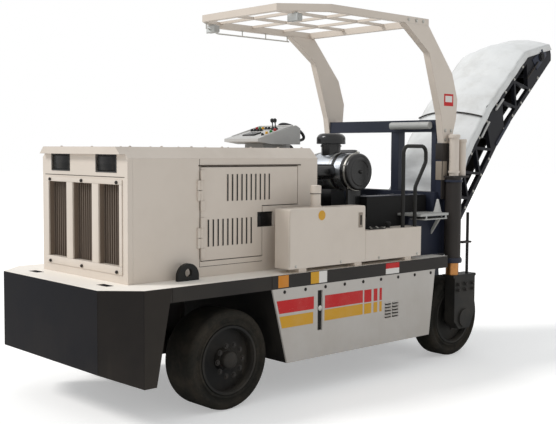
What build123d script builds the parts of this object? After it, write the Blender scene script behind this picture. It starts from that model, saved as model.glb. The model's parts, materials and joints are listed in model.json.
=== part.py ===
from build123d import *
from math import atan2, cos, degrees, hypot, radians, sin
import os

os.makedirs("parts", exist_ok=True)

# Driving dimensions in millimetres. Aft distances are measured from the nose.

# Chassis
BODY_HALF = 850
DECK_Z = 925
DECK_T = 20
BEAM_H = 100
BEAM_W = 80
FRAME_END = 3380
RAIL_Y = 340
RAIL_W = 80
RAIL_H = 125

# Ballast box at the nose
NOSE_HALF = 646
NOSE_CORNER = 222
NOSE_BOTTOM = 374
BALLAST_BOTTOM = 281
BALLAST_TOP_LEN = 444
BALLAST_LOW_LEN = 320
DECK_SLOT_L = 60
DECK_SLOT_W = 130
DECK_SLOT_Y = 470
DECK_SLOT_AFT = 170
DECK_SLOT_DEPTH = 12
LUG_AFT = 725
LUG_Y = 640
LASHING_HALF = 90
LASHING_FOOT = 30
LASHING_EYE_R = 30
LASHING_EYE_H = 55
LASHING_T = 30

# Front axle and steering
WHEEL_R = 355.5
TYRE_BORE = 245
RIM_PLAY = 0.3
FRONT_AXLE_AFT = 977
FRONT_TYRE_W = 305
FRONT_TYRE_OUT = 800
TYRE_SHOULDER = 26
KINGPIN_Y = 560
KINGPIN_R = 26
PIN_PLAY = 0.08
AXLE_BOX = 116
YOKE_EAR_T = 28
YOKE_EAR_GAP = 96
YOKE_EAR_REACH = 46
KNUCKLE_HALF = 46
SPINDLE_R = 42
SADDLE_HALF_X = 105
SADDLE_HALF_Y = 130
SADDLE_CHEEK = 34
PIVOT_PIN_R = 34

# Rear legs and wheels
REAR_TYRE_W = 205
REAR_AXLE_AFT = 3632
COLUMN_AFT = 3530
COLUMN_IN = 65
COLUMN_Y = BODY_HALF - COLUMN_IN
COLUMN_R = 56
COLUMN_PLAY = 1.0
SLEEVE_R = 70
SLEEVE_Z = 852
SLEEVE_TOP = 1600
CAP_T = 15
COLUMN_TOP = 1450
FORK_FRONT = 3488
FORK_REAR = 3782
FORK_T = 105
FORK_GAP = 10
REAR_TYRE_OUT = BODY_HALF - FORK_T - FORK_GAP
FORK_LOW = 262
FORK_TOP = 720
CROWN_T = 24
CROWN_LIP = 12
DEPTH_ROD_R = 13
GUIDE_EDGE = 30
DEPTH_ROD_AFT = 3690
DEPTH_ROD_TOP = 1290
GUIDE_Z = 1020
GUIDE_T = 16
CYLINDER_TOP = 1970
CYLINDER_R = 43
STORE_R = 34
STORE_AFT = 3645
STORE_TOP = 1930

# Milling chamber, skirts and drum
SKIRT_TOP_FRONT = 1329
SKIRT_TOP_REAR = 3207
SKIRT_LOW_FRONT = 1478
SKIRT_LOW_REAR = 3135
SKIRT_Z = 269
SKIRT_T = 14
CHAMBER_WALL = 20
CHUTE_HALF = 345
CHUTE_LOW = 345
CHUTE_HIGH = 760
SLOT_AFT = 1817
SLOT_W = 50
SLOT_LOW = 473
SLOT_HIGH = 777
VENT_AFT = 2645
VENT_W = 180
VENT_H = 132
VENT_Z = 535
VENT_BARS = 5
DRUM_AFT = 2300
DRUM_Z = 495
DRUM_TIP_R = 365
DRUM_SHELL_R = 272
DRUM_W = 1000
DRUM_SIDE_GAP = 26
PICK_ROWS = 13
PICKS_IN_ROW = 6
PICK_TURN = 96
PICK_BASE = 46
PICK_HOLDER_H = 50
PICK_POINT = 9

# Hood, doors and engine
HOOD_FRONT = 286
HOOD_REAR = 2056
HOOD_HALF = 568
HOOD_TOP = 1847
HOOD_SHOULDER = 78
HOOD_INSET = 84
HOOD_WALL = 20
HOOD_PANEL = 40
VISOR = 42
VISOR_H = 52
WINDOW_W = 255
WINDOW_PITCH = 345
WINDOW_LOW = 1040
WINDOW_HIGH = 1592
LAMP_Y = 305
LAMP_Z = 1734
LAMP_W = 250
LAMP_H = 114
LAMP_DEPTH = 46
GRILLE_BARS = 9
GRILLE_T = 10
RADIATOR_T = 80
DOOR_FRONT = 893
DOOR_REAR = 1845
DOOR_NOTCH = 1480
DOOR_LOW = 1036
DOOR_TOP = 1712
DOOR_PLAY = 6
HINGE_OUT = 12
HINGE_R = 9
HINGE_PIN_R = 5
HINGE_L = 70
LOUVRES = 10
LOUVRE_W = 16
LOUVRE_H = 194
LOUVRE_PITCH = 44.8
LOUVRE_HIGH_AFT = 1143
LOUVRE_HIGH_Z = 1557
LOUVRE_LOW_AFT = 965
LOUVRE_LOW_Z = 1236
RECESS_IN_DOOR = 51
RECESS_IN_SHELL = 112
RECESS_FRONT = DOOR_NOTCH - RECESS_IN_DOOR
RECESS_REAR = DOOR_NOTCH + RECESS_IN_SHELL
RECESS_LOW = 1256
RECESS_HIGH = 1369
ENGINE_FRONT = 760
ENGINE_REAR = 1760
ENGINE_HALF = 320
ENGINE_TOP = 1520

# Side tanks
TANK_FRONT = 1497
TANK_STEP = 2321
TANK_REAR = 3018
TANK_W = 169
TANK_IN = BODY_HALF - TANK_W
TANK_Z = 957
TANK_HIGH = 1400
TANK_LOW = 1200
TANK_EDGE = 14
FILLER_AFT = 1878
FILLER_IN = 118
FILLER_Y = BODY_HALF - FILLER_IN
FILLER_R = 42
FILLER_NECK_R = 39
FILLER_NECK_H = 103
FILLER_H = 160

# Platform
PLATFORM_FRONT = 2062
PLATFORM_GAP = 81
PLATFORM_HALF = TANK_IN - PLATFORM_GAP
FLOOR_Z = 1280
SIDE_BOX_FRONT = 2606
SIDE_BOX_W = 150
SIDE_BOX_TOP = 1445
STEP_FRONT = 3000
STEP_T = 20
BRACE_AFT = 3370
BRACE_T = 16
BRACE_FOOT = 1105
BRACE_IN = 50
BRACE_OUT = BODY_HALF - BRACE_IN
BRACE_H = 38
RAIL_FRONT = 2810
RAIL_REAR = 2965
RAIL_REAR_TOP = 3100
RAIL_KINK_HIGH = 1738
RAIL_KINK_LOW = 1530
RAIL_IN = 35
RAIL_OUT = BODY_HALF - RAIL_IN
RAIL_R = 16
RAIL_TOP = 1870
RAIL_BEND = 60
CONSOLE_Y = -300
CONSOLE_HALF = 220
CONSOLE_FRONT = 2000
CONSOLE_REAR = 2490
CONSOLE_LOW = 1880
CONSOLE_TOP = 2045
PEDESTAL_FRONT = 2150
PEDESTAL_REAR = 2330
PEDESTAL_HALF = 120
STEERING_R = 135
STEERING_ROD = 13
STEERING_SHAFT = 125
COLUMN_BOX_HALF = 45
SEAT_HALF = 225
SEAT_LEN = 430
SEAT_BASE_TOP = 1600
CUSHION_T = 85
SEAT_BACK_TOP = 1835
SEAT_BACK_T = 80

# Air cleaner
CLEANER_AFT = 2523
CLEANER_Z = 1656
CLEANER_R = 152
CLEANER_RIGHT = 110
CLEANER_LEFT = 600
CLEANER_EDGE = 20
CLAMP_Y = 405
CLAMP_W = 26
CLAMP_OUT = 7
INTAKE_Y = 400
INTAKE_R = 62
NECK_Y = 261
NECK_R = 82
CAP_R = 122
CAP_LOW = 1890
CAP_TOP = 1973
SADDLE_T = 24
SADDLE_Y = (170, 510)
SADDLE_HALF = 76

# Rear frame above the legs
FRAME_PLATE_T = 40
TANK_GAP = 1
FRAME_PLATE_Y = TANK_IN - TANK_GAP - FRAME_PLATE_T
FRAME_PLATE_FRONT = 3050
CROSS_BEHIND = 20
CROSS_L = 140
CROSS_END_L = 180
CROSS_FRONT = FRAME_END + CROSS_BEHIND
CROSS_BEAM_REAR = CROSS_FRONT + CROSS_L
CROSS_REAR = CROSS_FRONT + CROSS_END_L
SEAT_GAP = 125
SEAT_AFT = CROSS_FRONT - SEAT_GAP - SEAT_LEN / 2
CROSS_LOW = 1300
CROSS_TOP = 1470
UPRIGHT_W = 70
RAIL_BEAM_LOW = 2000
RAIL_BEAM_TOP = 2105
RAIL_BEAM_FRONT = 3450
RAIL_BEAM_REAR = 3550
MID_POST_Y = 170
MID_POST_W = 88

# Canopy
POST_IN = 95
POST_Y = COLUMN_Y - POST_IN
POST_W = 66
POST_FOOT = 1900
ROOF_FRONT = 1710
ROOF_BEND = 2040
ROOF_REAR = 3225
ROOF_NOSE_HALF = 460
ROOF_TOP = 2950
ROOF_DEPTH = 56
ROOF_RIM = 44
LATTICE_BAR = 26
LATTICE_T = 22
LATTICE_COLUMNS = 3
LATTICE_ROWS = 4
CANOPY_LAMP_W = 120
CANOPY_LAMP_H = 74
CANOPY_LAMP_L = 62
CANOPY_LAMP_AFT = 1830
CANOPY_LAMP_Y = 505

# Conveyor and its slewing yoke
SLEW_AFT = 3640
LUFF_AFT = 3600
LUFF_Z = 560
SLOPE_LOW = 51.5
SLOPE_HIGH = 42.5
KNEE_RUN = 1933
TIP_RUN = 3096
FOOT_RUN = -180
CHORD_LOW = -85
CHORD_HIGH = 215
BOARD_TOP = 292
BOARD_START = 1080
BOARD_FULL = 1380
DROOP_RUN = 2760
CHORD_W = 42
TRUSS_HALF = 380
TRUSS_T = 45
BRACE_W = 26
BAY_RUN = 150
TRUSS_START = 780
FOOT_TOP = 170
FOOT_IDLER_RUN = 405
BELT_HALF = 290
BELT_T = 12
DRUM_RISE = 65
PULLEY_R = 95
PULLEY_GAP = 0.3
TAIL_RUN = -62
HEAD_SETBACK = 128
SHAFT_R = 24
IDLER_R = 20
IDLER_BAYS = 3
COVER_RUN = 840
COVER_HALF = 360
COVER_RISE = 84
COVER_T = 12
TONGUE_TOP = 290
TONGUE_T = 38
TONGUE_HALF = 200
YOKE_BASE_T = 20
YOKE_RING_H = 15
YOKE_RING_R = 180
YOKE_HALF_LEN = 200
YOKE_IN = 400
YOKE_T = 25
YOKE_TOP = 1190
BRIDGE_T = 40
BRIDGE_HALF_LEN = 80
BRIDGE_HALF_NOSE = 230
YOKE_STEP_Z = 860
YOKE_UPPER_FRONT = 4
YOKE_UPPER_REAR = 150
SLEW_PIN_R = 30
LUFF_PIN_R = 25
LIFT_AFT = 3900
LIFT_Z = 400
LIFT_RUN = 1150
LIFT_DROP = 135
LUG_IN = 32
LUG_T = 18
BARREL_R = 45
BARREL_LEN = 700
BARREL_BASE = 60
ROD_R = 25
ROD_PLAY = 1.0
EYE_R = 42
EYE_PIN_R = 20
EYE_PLAY = 6


def conveyor_point(run, rise):
    """Aft distance and height of a point on the kinked conveyor line."""
    low, high = radians(SLOPE_LOW), radians(SLOPE_HIGH)
    if run < KNEE_RUN:
        aft_run = run * cos(low) - rise * sin(low)
        up_run = run * sin(low) + rise * cos(low)
        return LUFF_AFT + aft_run, LUFF_Z + up_run
    knee_aft = LUFF_AFT + KNEE_RUN * cos(low)
    knee_z = LUFF_Z + KNEE_RUN * sin(low)
    if run == KNEE_RUN:
        middle = (low + high) / 2
        reach = rise / cos((low - high) / 2)
        return knee_aft - reach * sin(middle), knee_z + reach * cos(middle)
    past = run - KNEE_RUN
    aft_run = past * cos(high) - rise * sin(high)
    up_run = past * sin(high) + rise * cos(high)
    return knee_aft + aft_run, knee_z + up_run


# The row's middle lies halfway between the nose and the conveyor's tip.
FRONT = conveyor_point(TIP_RUN, CHORD_LOW)[0] / 2


def aft(distance):
    """X of a point this far behind the nose."""
    return FRONT - distance


def outline(points):
    """Side view points, given as aft distance and height, in the row's X and Z."""
    return [(aft(distance), height) for distance, height in points]


def belt_line(points):
    """Side view points of conveyor positions given as run and rise."""
    return outline([conveyor_point(run, rise) for run, rise in points])


def side_plane(y):
    """Side view plane at this Y; extruding from it goes towards the right."""
    return Plane.XZ.offset(-y)


def block(front, rear, right, left, low, high, mode=Mode.ADD):
    """Box between two aft distances, two widths and two heights."""
    middle = ((aft(front) + aft(rear)) / 2, (right + left) / 2, (low + high) / 2)
    with Locations(middle):
        Box(rear - front, left - right, high - low, mode=mode)


def side_plate(points, right, left, mode=Mode.ADD):
    """Plate with this side view outline between two widths."""
    with BuildSketch(side_plane(left)) as view:
        Polygon(*points, align=None)
    extrude(view.sketch, amount=left - right, mode=mode)


def cross_bar(at_aft, at_z, radius, right, left, mode=Mode.ADD):
    """Round bar across the machine between two widths."""
    with BuildSketch(side_plane(left)) as view:
        with Locations((aft(at_aft), at_z)):
            Circle(radius)
    extrude(view.sketch, amount=left - right, mode=mode)


def post(at_aft, y, radius, low, high, mode=Mode.ADD):
    """Upright round bar between two heights."""
    with BuildSketch(Plane.XY.offset(low)) as view:
        with Locations((aft(at_aft), y)):
            Circle(radius)
    extrude(view.sketch, amount=high - low, mode=mode)


def save(piece, label):
    """Label a finished sub-part and write its STEP file."""
    piece.part.label = label
    export_step(piece.part, f"parts/{label}.step")


def ballast_rear(height):
    """Aft distance of the ballast's sloping rear face at this height."""
    share = (height - BALLAST_BOTTOM) / (DECK_Z - BALLAST_BOTTOM)
    return BALLAST_LOW_LEN + share * (BALLAST_TOP_LEN - BALLAST_LOW_LEN)


def skirt_front(height):
    """Aft distance of the skirt's raked front edge at this height."""
    share = (height - SKIRT_Z) / (DECK_Z - BEAM_H - SKIRT_Z)
    return SKIRT_LOW_FRONT + share * (SKIRT_TOP_FRONT - SKIRT_LOW_FRONT)


def skirt_rear(height):
    """Aft distance of the skirt's raked rear edge at this height."""
    share = (height - SKIRT_Z) / (DECK_Z - BEAM_H - SKIRT_Z)
    return SKIRT_LOW_REAR + share * (SKIRT_TOP_REAR - SKIRT_LOW_REAR)


BEAM_Z = DECK_Z - BEAM_H
DECK_UNDER = DECK_Z - DECK_T

# Ballast box: tapered nose block with clipped corners and a raked rear face
ballast_side = [
    (0, NOSE_BOTTOM),
    (0, DECK_Z),
    (BALLAST_TOP_LEN, DECK_Z),
    (BALLAST_LOW_LEN, BALLAST_BOTTOM),
    (NOSE_CORNER, BALLAST_BOTTOM),
]
with BuildPart() as ballast_box:
    side_plate(outline(ballast_side), -BODY_HALF, BODY_HALF)
    for side in (1, -1):
        with BuildSketch(Plane.XY.offset(BALLAST_BOTTOM)):
            Polygon(
                (aft(0), side * NOSE_HALF),
                (aft(0), side * BODY_HALF),
                (aft(NOSE_CORNER), side * BODY_HALF),
                align=None,
            )
        extrude(amount=DECK_Z - BALLAST_BOTTOM, mode=Mode.SUBTRACT)
    with Locations(
        (aft(DECK_SLOT_AFT), DECK_SLOT_Y, DECK_Z),
        (aft(DECK_SLOT_AFT), -DECK_SLOT_Y, DECK_Z),
    ):
        Box(DECK_SLOT_L, DECK_SLOT_W, 2 * DECK_SLOT_DEPTH, mode=Mode.SUBTRACT)
save(ballast_box, "ballast_box")

# Main frame: side beams, deck plate, inner rails and the front axle's saddle
beam_side = [
    (ballast_rear(BEAM_Z), BEAM_Z),
    (ballast_rear(DECK_Z), DECK_Z),
    (FRAME_END, DECK_Z),
    (FRAME_END, BEAM_Z),
]
rail_side = [
    (ballast_rear(DECK_Z - RAIL_H - DECK_T), DECK_UNDER - RAIL_H),
    (ballast_rear(DECK_Z), DECK_Z),
    (SKIRT_TOP_FRONT, DECK_Z),
    (SKIRT_TOP_FRONT, DECK_UNDER - RAIL_H),
]
SADDLE_LOW = WHEEL_R - SADDLE_CHEEK - PIVOT_PIN_R / 2
with BuildPart() as main_frame:
    block(BALLAST_TOP_LEN, FRAME_END, -BODY_HALF, BODY_HALF, DECK_UNDER, DECK_Z)
    for side in (1, -1):
        outer = side * BODY_HALF
        inner = side * (BODY_HALF - BEAM_W)
        side_plate(outline(beam_side), min(inner, outer), max(inner, outer))
        rail_in = side * RAIL_Y - RAIL_W / 2
        side_plate(outline(rail_side), rail_in, rail_in + RAIL_W)
    block(
        FRONT_AXLE_AFT - SADDLE_HALF_X,
        FRONT_AXLE_AFT + SADDLE_HALF_X,
        -RAIL_Y,
        RAIL_Y,
        DECK_UNDER - RAIL_H,
        DECK_Z,
    )
    for cheek_front in (
        FRONT_AXLE_AFT - SADDLE_HALF_X,
        FRONT_AXLE_AFT + SADDLE_HALF_X - SADDLE_CHEEK,
    ):
        block(
            cheek_front,
            cheek_front + SADDLE_CHEEK,
            -SADDLE_HALF_Y,
            SADDLE_HALF_Y,
            SADDLE_LOW,
            DECK_UNDER,
        )
    with BuildSketch(Plane.YZ.offset(aft(FRONT_AXLE_AFT + SADDLE_HALF_X))):
        with Locations((0, WHEEL_R)):
            Circle(PIVOT_PIN_R)
    extrude(amount=2 * SADDLE_HALF_X)
save(main_frame, "main_frame")

# Lashing lugs that stand on the deck beside the hood
with BuildPart() as lashing_rings:
    for side in (1, -1):
        with BuildSketch(side_plane(side * LUG_Y + LASHING_T / 2)) as lug_view:
            with Locations((aft(LUG_AFT), DECK_Z + LASHING_FOOT / 2)):
                Rectangle(2 * LASHING_HALF, LASHING_FOOT)
            with Locations((aft(LUG_AFT), DECK_Z + LASHING_FOOT)):
                Circle(LASHING_HALF)
            with Locations((aft(LUG_AFT), DECK_Z - LASHING_HALF)):
                Rectangle(2 * LASHING_HALF, 2 * LASHING_HALF, mode=Mode.SUBTRACT)
            with Locations((aft(LUG_AFT), DECK_Z + LASHING_EYE_H)):
                Circle(LASHING_EYE_R, mode=Mode.SUBTRACT)
        extrude(lug_view.sketch, amount=LASHING_T)
save(lashing_rings, "lashing_rings")

# Front axle: box beam on the saddle's pin, with a clevis at each end
EAR_IN = YOKE_EAR_GAP
EAR_OUT = YOKE_EAR_GAP + YOKE_EAR_T
WEB_OUT = KINGPIN_Y - KNUCKLE_HALF - YOKE_EAR_T
with BuildPart() as front_axle:
    half = AXLE_BOX / 2
    block(
        FRONT_AXLE_AFT - half,
        FRONT_AXLE_AFT + half,
        -WEB_OUT,
        WEB_OUT,
        WHEEL_R - half,
        WHEEL_R + half,
    )
    for side in (1, -1):
        web = sorted((side * (WEB_OUT - YOKE_EAR_T), side * WEB_OUT))
        ear = sorted((side * (WEB_OUT - YOKE_EAR_T), side * KINGPIN_Y))
        block(
            FRONT_AXLE_AFT - half,
            FRONT_AXLE_AFT + half,
            *web,
            WHEEL_R - EAR_OUT,
            WHEEL_R + EAR_OUT,
        )
        for low in (WHEEL_R - EAR_OUT, WHEEL_R + EAR_IN):
            block(
                FRONT_AXLE_AFT - YOKE_EAR_REACH,
                FRONT_AXLE_AFT + YOKE_EAR_REACH,
                *ear,
                low,
                low + YOKE_EAR_T,
            )
            post(
                FRONT_AXLE_AFT,
                side * KINGPIN_Y,
                YOKE_EAR_REACH,
                low,
                low + YOKE_EAR_T,
            )
            post(
                FRONT_AXLE_AFT,
                side * KINGPIN_Y,
                KINGPIN_R + PIN_PLAY,
                low,
                low + YOKE_EAR_T,
                mode=Mode.SUBTRACT,
            )
    with BuildSketch(Plane.YZ.offset(aft(FRONT_AXLE_AFT + half))):
        with Locations((0, WHEEL_R)):
            Circle(PIVOT_PIN_R + PIN_PLAY)
    extrude(amount=AXLE_BOX, mode=Mode.SUBTRACT)
save(front_axle, "front_axle")

# Hub sizes that the knuckles, forks and rims share
HUB_R = 82
HUB_PLAY = 0.08
DISC_T = 16
DISC_INSET = 96
HUB_REACH = 62
HUB_DEPTH = 56
HUB_TAPER = 10
BAND_T = 18
FRONT_TYRE_IN = FRONT_TYRE_OUT - FRONT_TYRE_W
FRONT_DISC_Y = FRONT_TYRE_OUT - DISC_INSET
SPINDLE_END = FRONT_DISC_Y + 20


def knuckle(side):
    """Steering knuckle with its kingpin, spindle and steering arm."""
    with BuildPart() as piece:
        post(
            FRONT_AXLE_AFT,
            side * KINGPIN_Y,
            KNUCKLE_HALF - 2,
            WHEEL_R - EAR_IN + 1,
            WHEEL_R + EAR_IN - 1,
        )
        post(
            FRONT_AXLE_AFT,
            side * KINGPIN_Y,
            KINGPIN_R,
            WHEEL_R - EAR_OUT - 4,
            WHEEL_R + EAR_OUT + 4,
        )
        spindle = sorted((side * KINGPIN_Y, side * SPINDLE_END))
        cross_bar(FRONT_AXLE_AFT, WHEEL_R, SPINDLE_R, *spindle)
        arm = sorted((side * (KINGPIN_Y - 18), side * (KINGPIN_Y + 18)))
        block(
            FRONT_AXLE_AFT,
            FRONT_AXLE_AFT + 165,
            *arm,
            WHEEL_R - 74,
            WHEEL_R - 44,
        )
    return piece


def tyre(at_aft, inner, outer):
    """Solid rubber tyre between two widths, with rounded shoulders."""
    side = 1 if outer > 0 else -1
    width = abs(outer - inner)
    middle = (inner + outer) / 2
    with BuildPart() as piece:
        with BuildSketch(Plane.XY.offset(WHEEL_R)) as section:
            with Locations((aft(at_aft) + (TYRE_BORE + WHEEL_R) / 2, middle)):
                Rectangle(WHEEL_R - TYRE_BORE, width)
            tread_corners = section.vertices().group_by(Axis.X)[-1]
            fillet(tread_corners, TYRE_SHOULDER)
        revolve(axis=Axis((aft(at_aft), 0, WHEEL_R), (0, side, 0)))
    return piece


def rim(at_aft, inner, outer, disc, hub_in, hub_out, bore_from, bore_to):
    """Steel rim: band, disc and hub, with a blind bore for its spindle."""
    side = 1 if outer > 0 else -1
    centre = aft(at_aft)
    band_r = TYRE_BORE - RIM_PLAY
    well_r = band_r - BAND_T
    with BuildPart() as piece:
        with BuildSketch(Plane.XY.offset(WHEEL_R)):
            Polygon(
                (centre, hub_in),
                (centre + HUB_R, hub_in),
                (centre + HUB_R, disc),
                (centre + well_r, disc),
                (centre + well_r, inner),
                (centre + band_r, inner),
                (centre + band_r, outer),
                (centre + well_r, outer),
                (centre + well_r, disc + side * DISC_T),
                (centre + HUB_R, disc + side * DISC_T),
                (centre + HUB_R - HUB_TAPER, hub_out),
                (centre, hub_out),
                align=None,
            )
        revolve(axis=Axis((centre, 0, WHEEL_R), (0, 1, 0)))
        bore = sorted((bore_from, bore_to))
        cross_bar(at_aft, WHEEL_R, SPINDLE_R + HUB_PLAY, *bore, mode=Mode.SUBTRACT)
    return piece


for side, name in ((1, "left"), (-1, "right")):
    save(knuckle(side), f"{name}_knuckle")
    save(
        tyre(FRONT_AXLE_AFT, side * FRONT_TYRE_IN, side * FRONT_TYRE_OUT),
        f"front_{name}_tyre",
    )
    save(
        rim(
            FRONT_AXLE_AFT,
            side * (FRONT_TYRE_IN + 2),
            side * (FRONT_TYRE_OUT - 2),
            side * FRONT_DISC_Y,
            side * (FRONT_DISC_Y - HUB_DEPTH),
            side * (FRONT_DISC_Y + HUB_REACH),
            side * (FRONT_DISC_Y - HUB_DEPTH),
            side * (SPINDLE_END + 2),
        ),
        f"front_{name}_rim",
    )

# Rear legs: polished column, fork arm outside the wheel, axle and depth rod
FORK_OUT = REAR_TYRE_OUT + FORK_GAP + FORK_T
FORK_IN = REAR_TYRE_OUT + FORK_GAP
REAR_TYRE_IN = REAR_TYRE_OUT - REAR_TYRE_W
REAR_DISC_Y = REAR_TYRE_OUT - 70
REAR_AXLE_END = REAR_TYRE_IN + 60
CROWN_Z = FORK_TOP + CROWN_T
fork_side = [
    (FORK_FRONT, FORK_TOP),
    (FORK_REAR, FORK_TOP),
    (FORK_REAR, WHEEL_R + 40),
    (FORK_REAR - 70, FORK_LOW),
    (FORK_FRONT + 70, FORK_LOW),
    (FORK_FRONT, WHEEL_R - 20),
]


def fork(side):
    """Fork arm with its crown plate and the wheel's axle stub."""
    arm = sorted((side * FORK_IN, side * FORK_OUT))
    crown = sorted((side * (COLUMN_Y - COLUMN_R - 6), side * FORK_OUT))
    axle = sorted((side * REAR_AXLE_END, side * FORK_IN))
    cover = sorted((side * FORK_OUT, side * (FORK_OUT + 14)))
    with BuildPart() as piece:
        side_plate(outline(fork_side), *arm)
        block(FORK_FRONT - CROWN_LIP - 6, FORK_REAR + CROWN_LIP, *crown, FORK_TOP, CROWN_Z)
        cross_bar(REAR_AXLE_AFT, WHEEL_R, SPINDLE_R, *axle)
        cross_bar(REAR_AXLE_AFT, WHEEL_R, HUB_R, *sorted((side * (FORK_IN - 4), side * FORK_IN)))
        cross_bar(REAR_AXLE_AFT, WHEEL_R, HUB_R, *cover)
        post(
            DEPTH_ROD_AFT,
            side * (FORK_OUT - 24),
            DEPTH_ROD_R,
            CROWN_Z,
            DEPTH_ROD_TOP,
        )
    return piece


def column(side):
    """Polished lifting column that slides in the sleeve."""
    with BuildPart() as piece:
        post(COLUMN_AFT, side * COLUMN_Y, COLUMN_R, CROWN_Z, COLUMN_TOP)
        chamfer(piece.edges().group_by(Axis.Z)[-1], 6)
    return piece


for side, name in ((1, "left"), (-1, "right")):
    save(fork(side), f"{name}_fork")
    save(column(side), f"{name}_column")
    save(
        tyre(REAR_AXLE_AFT, side * REAR_TYRE_IN, side * REAR_TYRE_OUT),
        f"rear_{name}_tyre",
    )
    save(
        rim(
            REAR_AXLE_AFT,
            side * (REAR_TYRE_IN + 2),
            side * (REAR_TYRE_OUT - 2),
            side * REAR_DISC_Y,
            side * (REAR_AXLE_END - 20),
            side * (FORK_IN - 10),
            side * (REAR_AXLE_END - 2),
            side * FORK_IN,
        ),
        f"rear_{name}_rim",
    )

# Milling chamber: raked walls, drum side wall, drive casing and slewing tongue
DRUM_RIGHT = -BODY_HALF + BEAM_W + CHAMBER_WALL + DRUM_SIDE_GAP
DRUM_LEFT = DRUM_RIGHT + DRUM_W
CASING_RIGHT = DRUM_LEFT + DRUM_SIDE_GAP
SIDE_IN = BODY_HALF - SKIRT_T
front_wall = [
    (skirt_front(SKIRT_Z), SKIRT_Z),
    (skirt_front(BEAM_Z), BEAM_Z),
    (skirt_front(BEAM_Z) + CHAMBER_WALL, BEAM_Z),
    (skirt_front(SKIRT_Z) + CHAMBER_WALL, SKIRT_Z),
]
rear_wall = [
    (skirt_rear(SKIRT_Z) - CHAMBER_WALL, SKIRT_Z),
    (skirt_rear(BEAM_Z) - CHAMBER_WALL, BEAM_Z),
    (skirt_rear(BEAM_Z), BEAM_Z),
    (skirt_rear(SKIRT_Z), SKIRT_Z),
]
casing_side = [
    (skirt_front(SKIRT_Z), SKIRT_Z),
    (skirt_front(BEAM_Z), BEAM_Z),
    (skirt_rear(BEAM_Z), BEAM_Z),
    (skirt_rear(SKIRT_Z), SKIRT_Z),
]
with BuildPart() as milling_chamber:
    side_plate(outline(front_wall), -SIDE_IN, SIDE_IN)
    side_plate(outline(rear_wall), -SIDE_IN, SIDE_IN)
    block(
        skirt_rear(SKIRT_Z) - 3 * CHAMBER_WALL,
        skirt_rear(BEAM_Z) + CHAMBER_WALL,
        -CHUTE_HALF,
        CHUTE_HALF,
        CHUTE_LOW,
        CHUTE_HIGH,
        mode=Mode.SUBTRACT,
    )
    side_plate(outline(casing_side), CASING_RIGHT, SIDE_IN)
    side_plate(
        outline(casing_side),
        -BODY_HALF + BEAM_W,
        -BODY_HALF + BEAM_W + CHAMBER_WALL,
    )
    for inner in (-BODY_HALF + BEAM_W, BODY_HALF - BEAM_W - CHAMBER_WALL):
        block(
            SKIRT_TOP_FRONT,
            SKIRT_TOP_REAR,
            inner,
            inner + CHAMBER_WALL,
            BEAM_Z - 1,
            DECK_UNDER,
        )
    for wall_front in (SKIRT_TOP_FRONT, SKIRT_TOP_REAR - CHAMBER_WALL):
        block(
            wall_front,
            wall_front + CHAMBER_WALL,
            -BODY_HALF + BEAM_W,
            BODY_HALF - BEAM_W,
            BEAM_Z - 1,
            DECK_UNDER,
        )
    block(
        skirt_rear(SKIRT_Z) - CHAMBER_WALL,
        SLEW_AFT + YOKE_RING_R + 20,
        -TONGUE_HALF,
        TONGUE_HALF,
        TONGUE_TOP - TONGUE_T,
        TONGUE_TOP,
    )
save(milling_chamber, "milling_chamber")


def skirt(side):
    """Painted side panel with its hanger slot and barred vent."""
    inner = side * SIDE_IN
    outer = side * BODY_HALF
    with BuildPart() as piece:
        side_plate(outline(casing_side), min(inner, outer), max(inner, outer))
        slot_z = (SLOT_LOW + SLOT_HIGH) / 2
        with Locations((aft(SLOT_AFT), (inner + outer) / 2, slot_z)):
            Box(SLOT_W, 2 * SKIRT_T, SLOT_HIGH - SLOT_LOW, mode=Mode.SUBTRACT)
        bar_pitch = VENT_H / VENT_BARS
        with Locations((aft(VENT_AFT), (inner + outer) / 2, VENT_Z)):
            with GridLocations(VENT_W / 2, 1, 2, 1):
                with Locations(
                    *[
                        (0, 0, (bar - (VENT_BARS - 1) / 2) * bar_pitch)
                        for bar in range(VENT_BARS)
                    ]
                ):
                    Box(VENT_W / 2 - 12, 2 * SKIRT_T, bar_pitch * 0.55, mode=Mode.SUBTRACT)
    return piece


# Milling drum: shell, helical rows of pick holders and carbide points
def pick():
    """One pick: wedge holder with a pointed hexagonal tool on top."""
    holder_top = DRUM_SHELL_R + PICK_HOLDER_H
    with BuildPart() as piece:
        with BuildSketch(Plane.XY.offset(DRUM_SHELL_R - 8)):
            Rectangle(PICK_BASE * 1.3, PICK_BASE)
        with BuildSketch(Plane.XY.offset(holder_top)):
            with Locations((PICK_BASE * 0.2, 0)):
                Rectangle(PICK_BASE * 0.8, PICK_BASE * 0.7)
        loft()
        with BuildSketch(Plane.XY.offset(holder_top - 1)):
            with Locations((PICK_BASE * 0.3, 0)):
                RegularPolygon(PICK_BASE * 0.3, 6)
        with BuildSketch(Plane.XY.offset(DRUM_TIP_R)):
            with Locations((PICK_BASE * 0.55, 0)):
                RegularPolygon(PICK_POINT / 2, 6)
        loft()
    return piece.part


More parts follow.
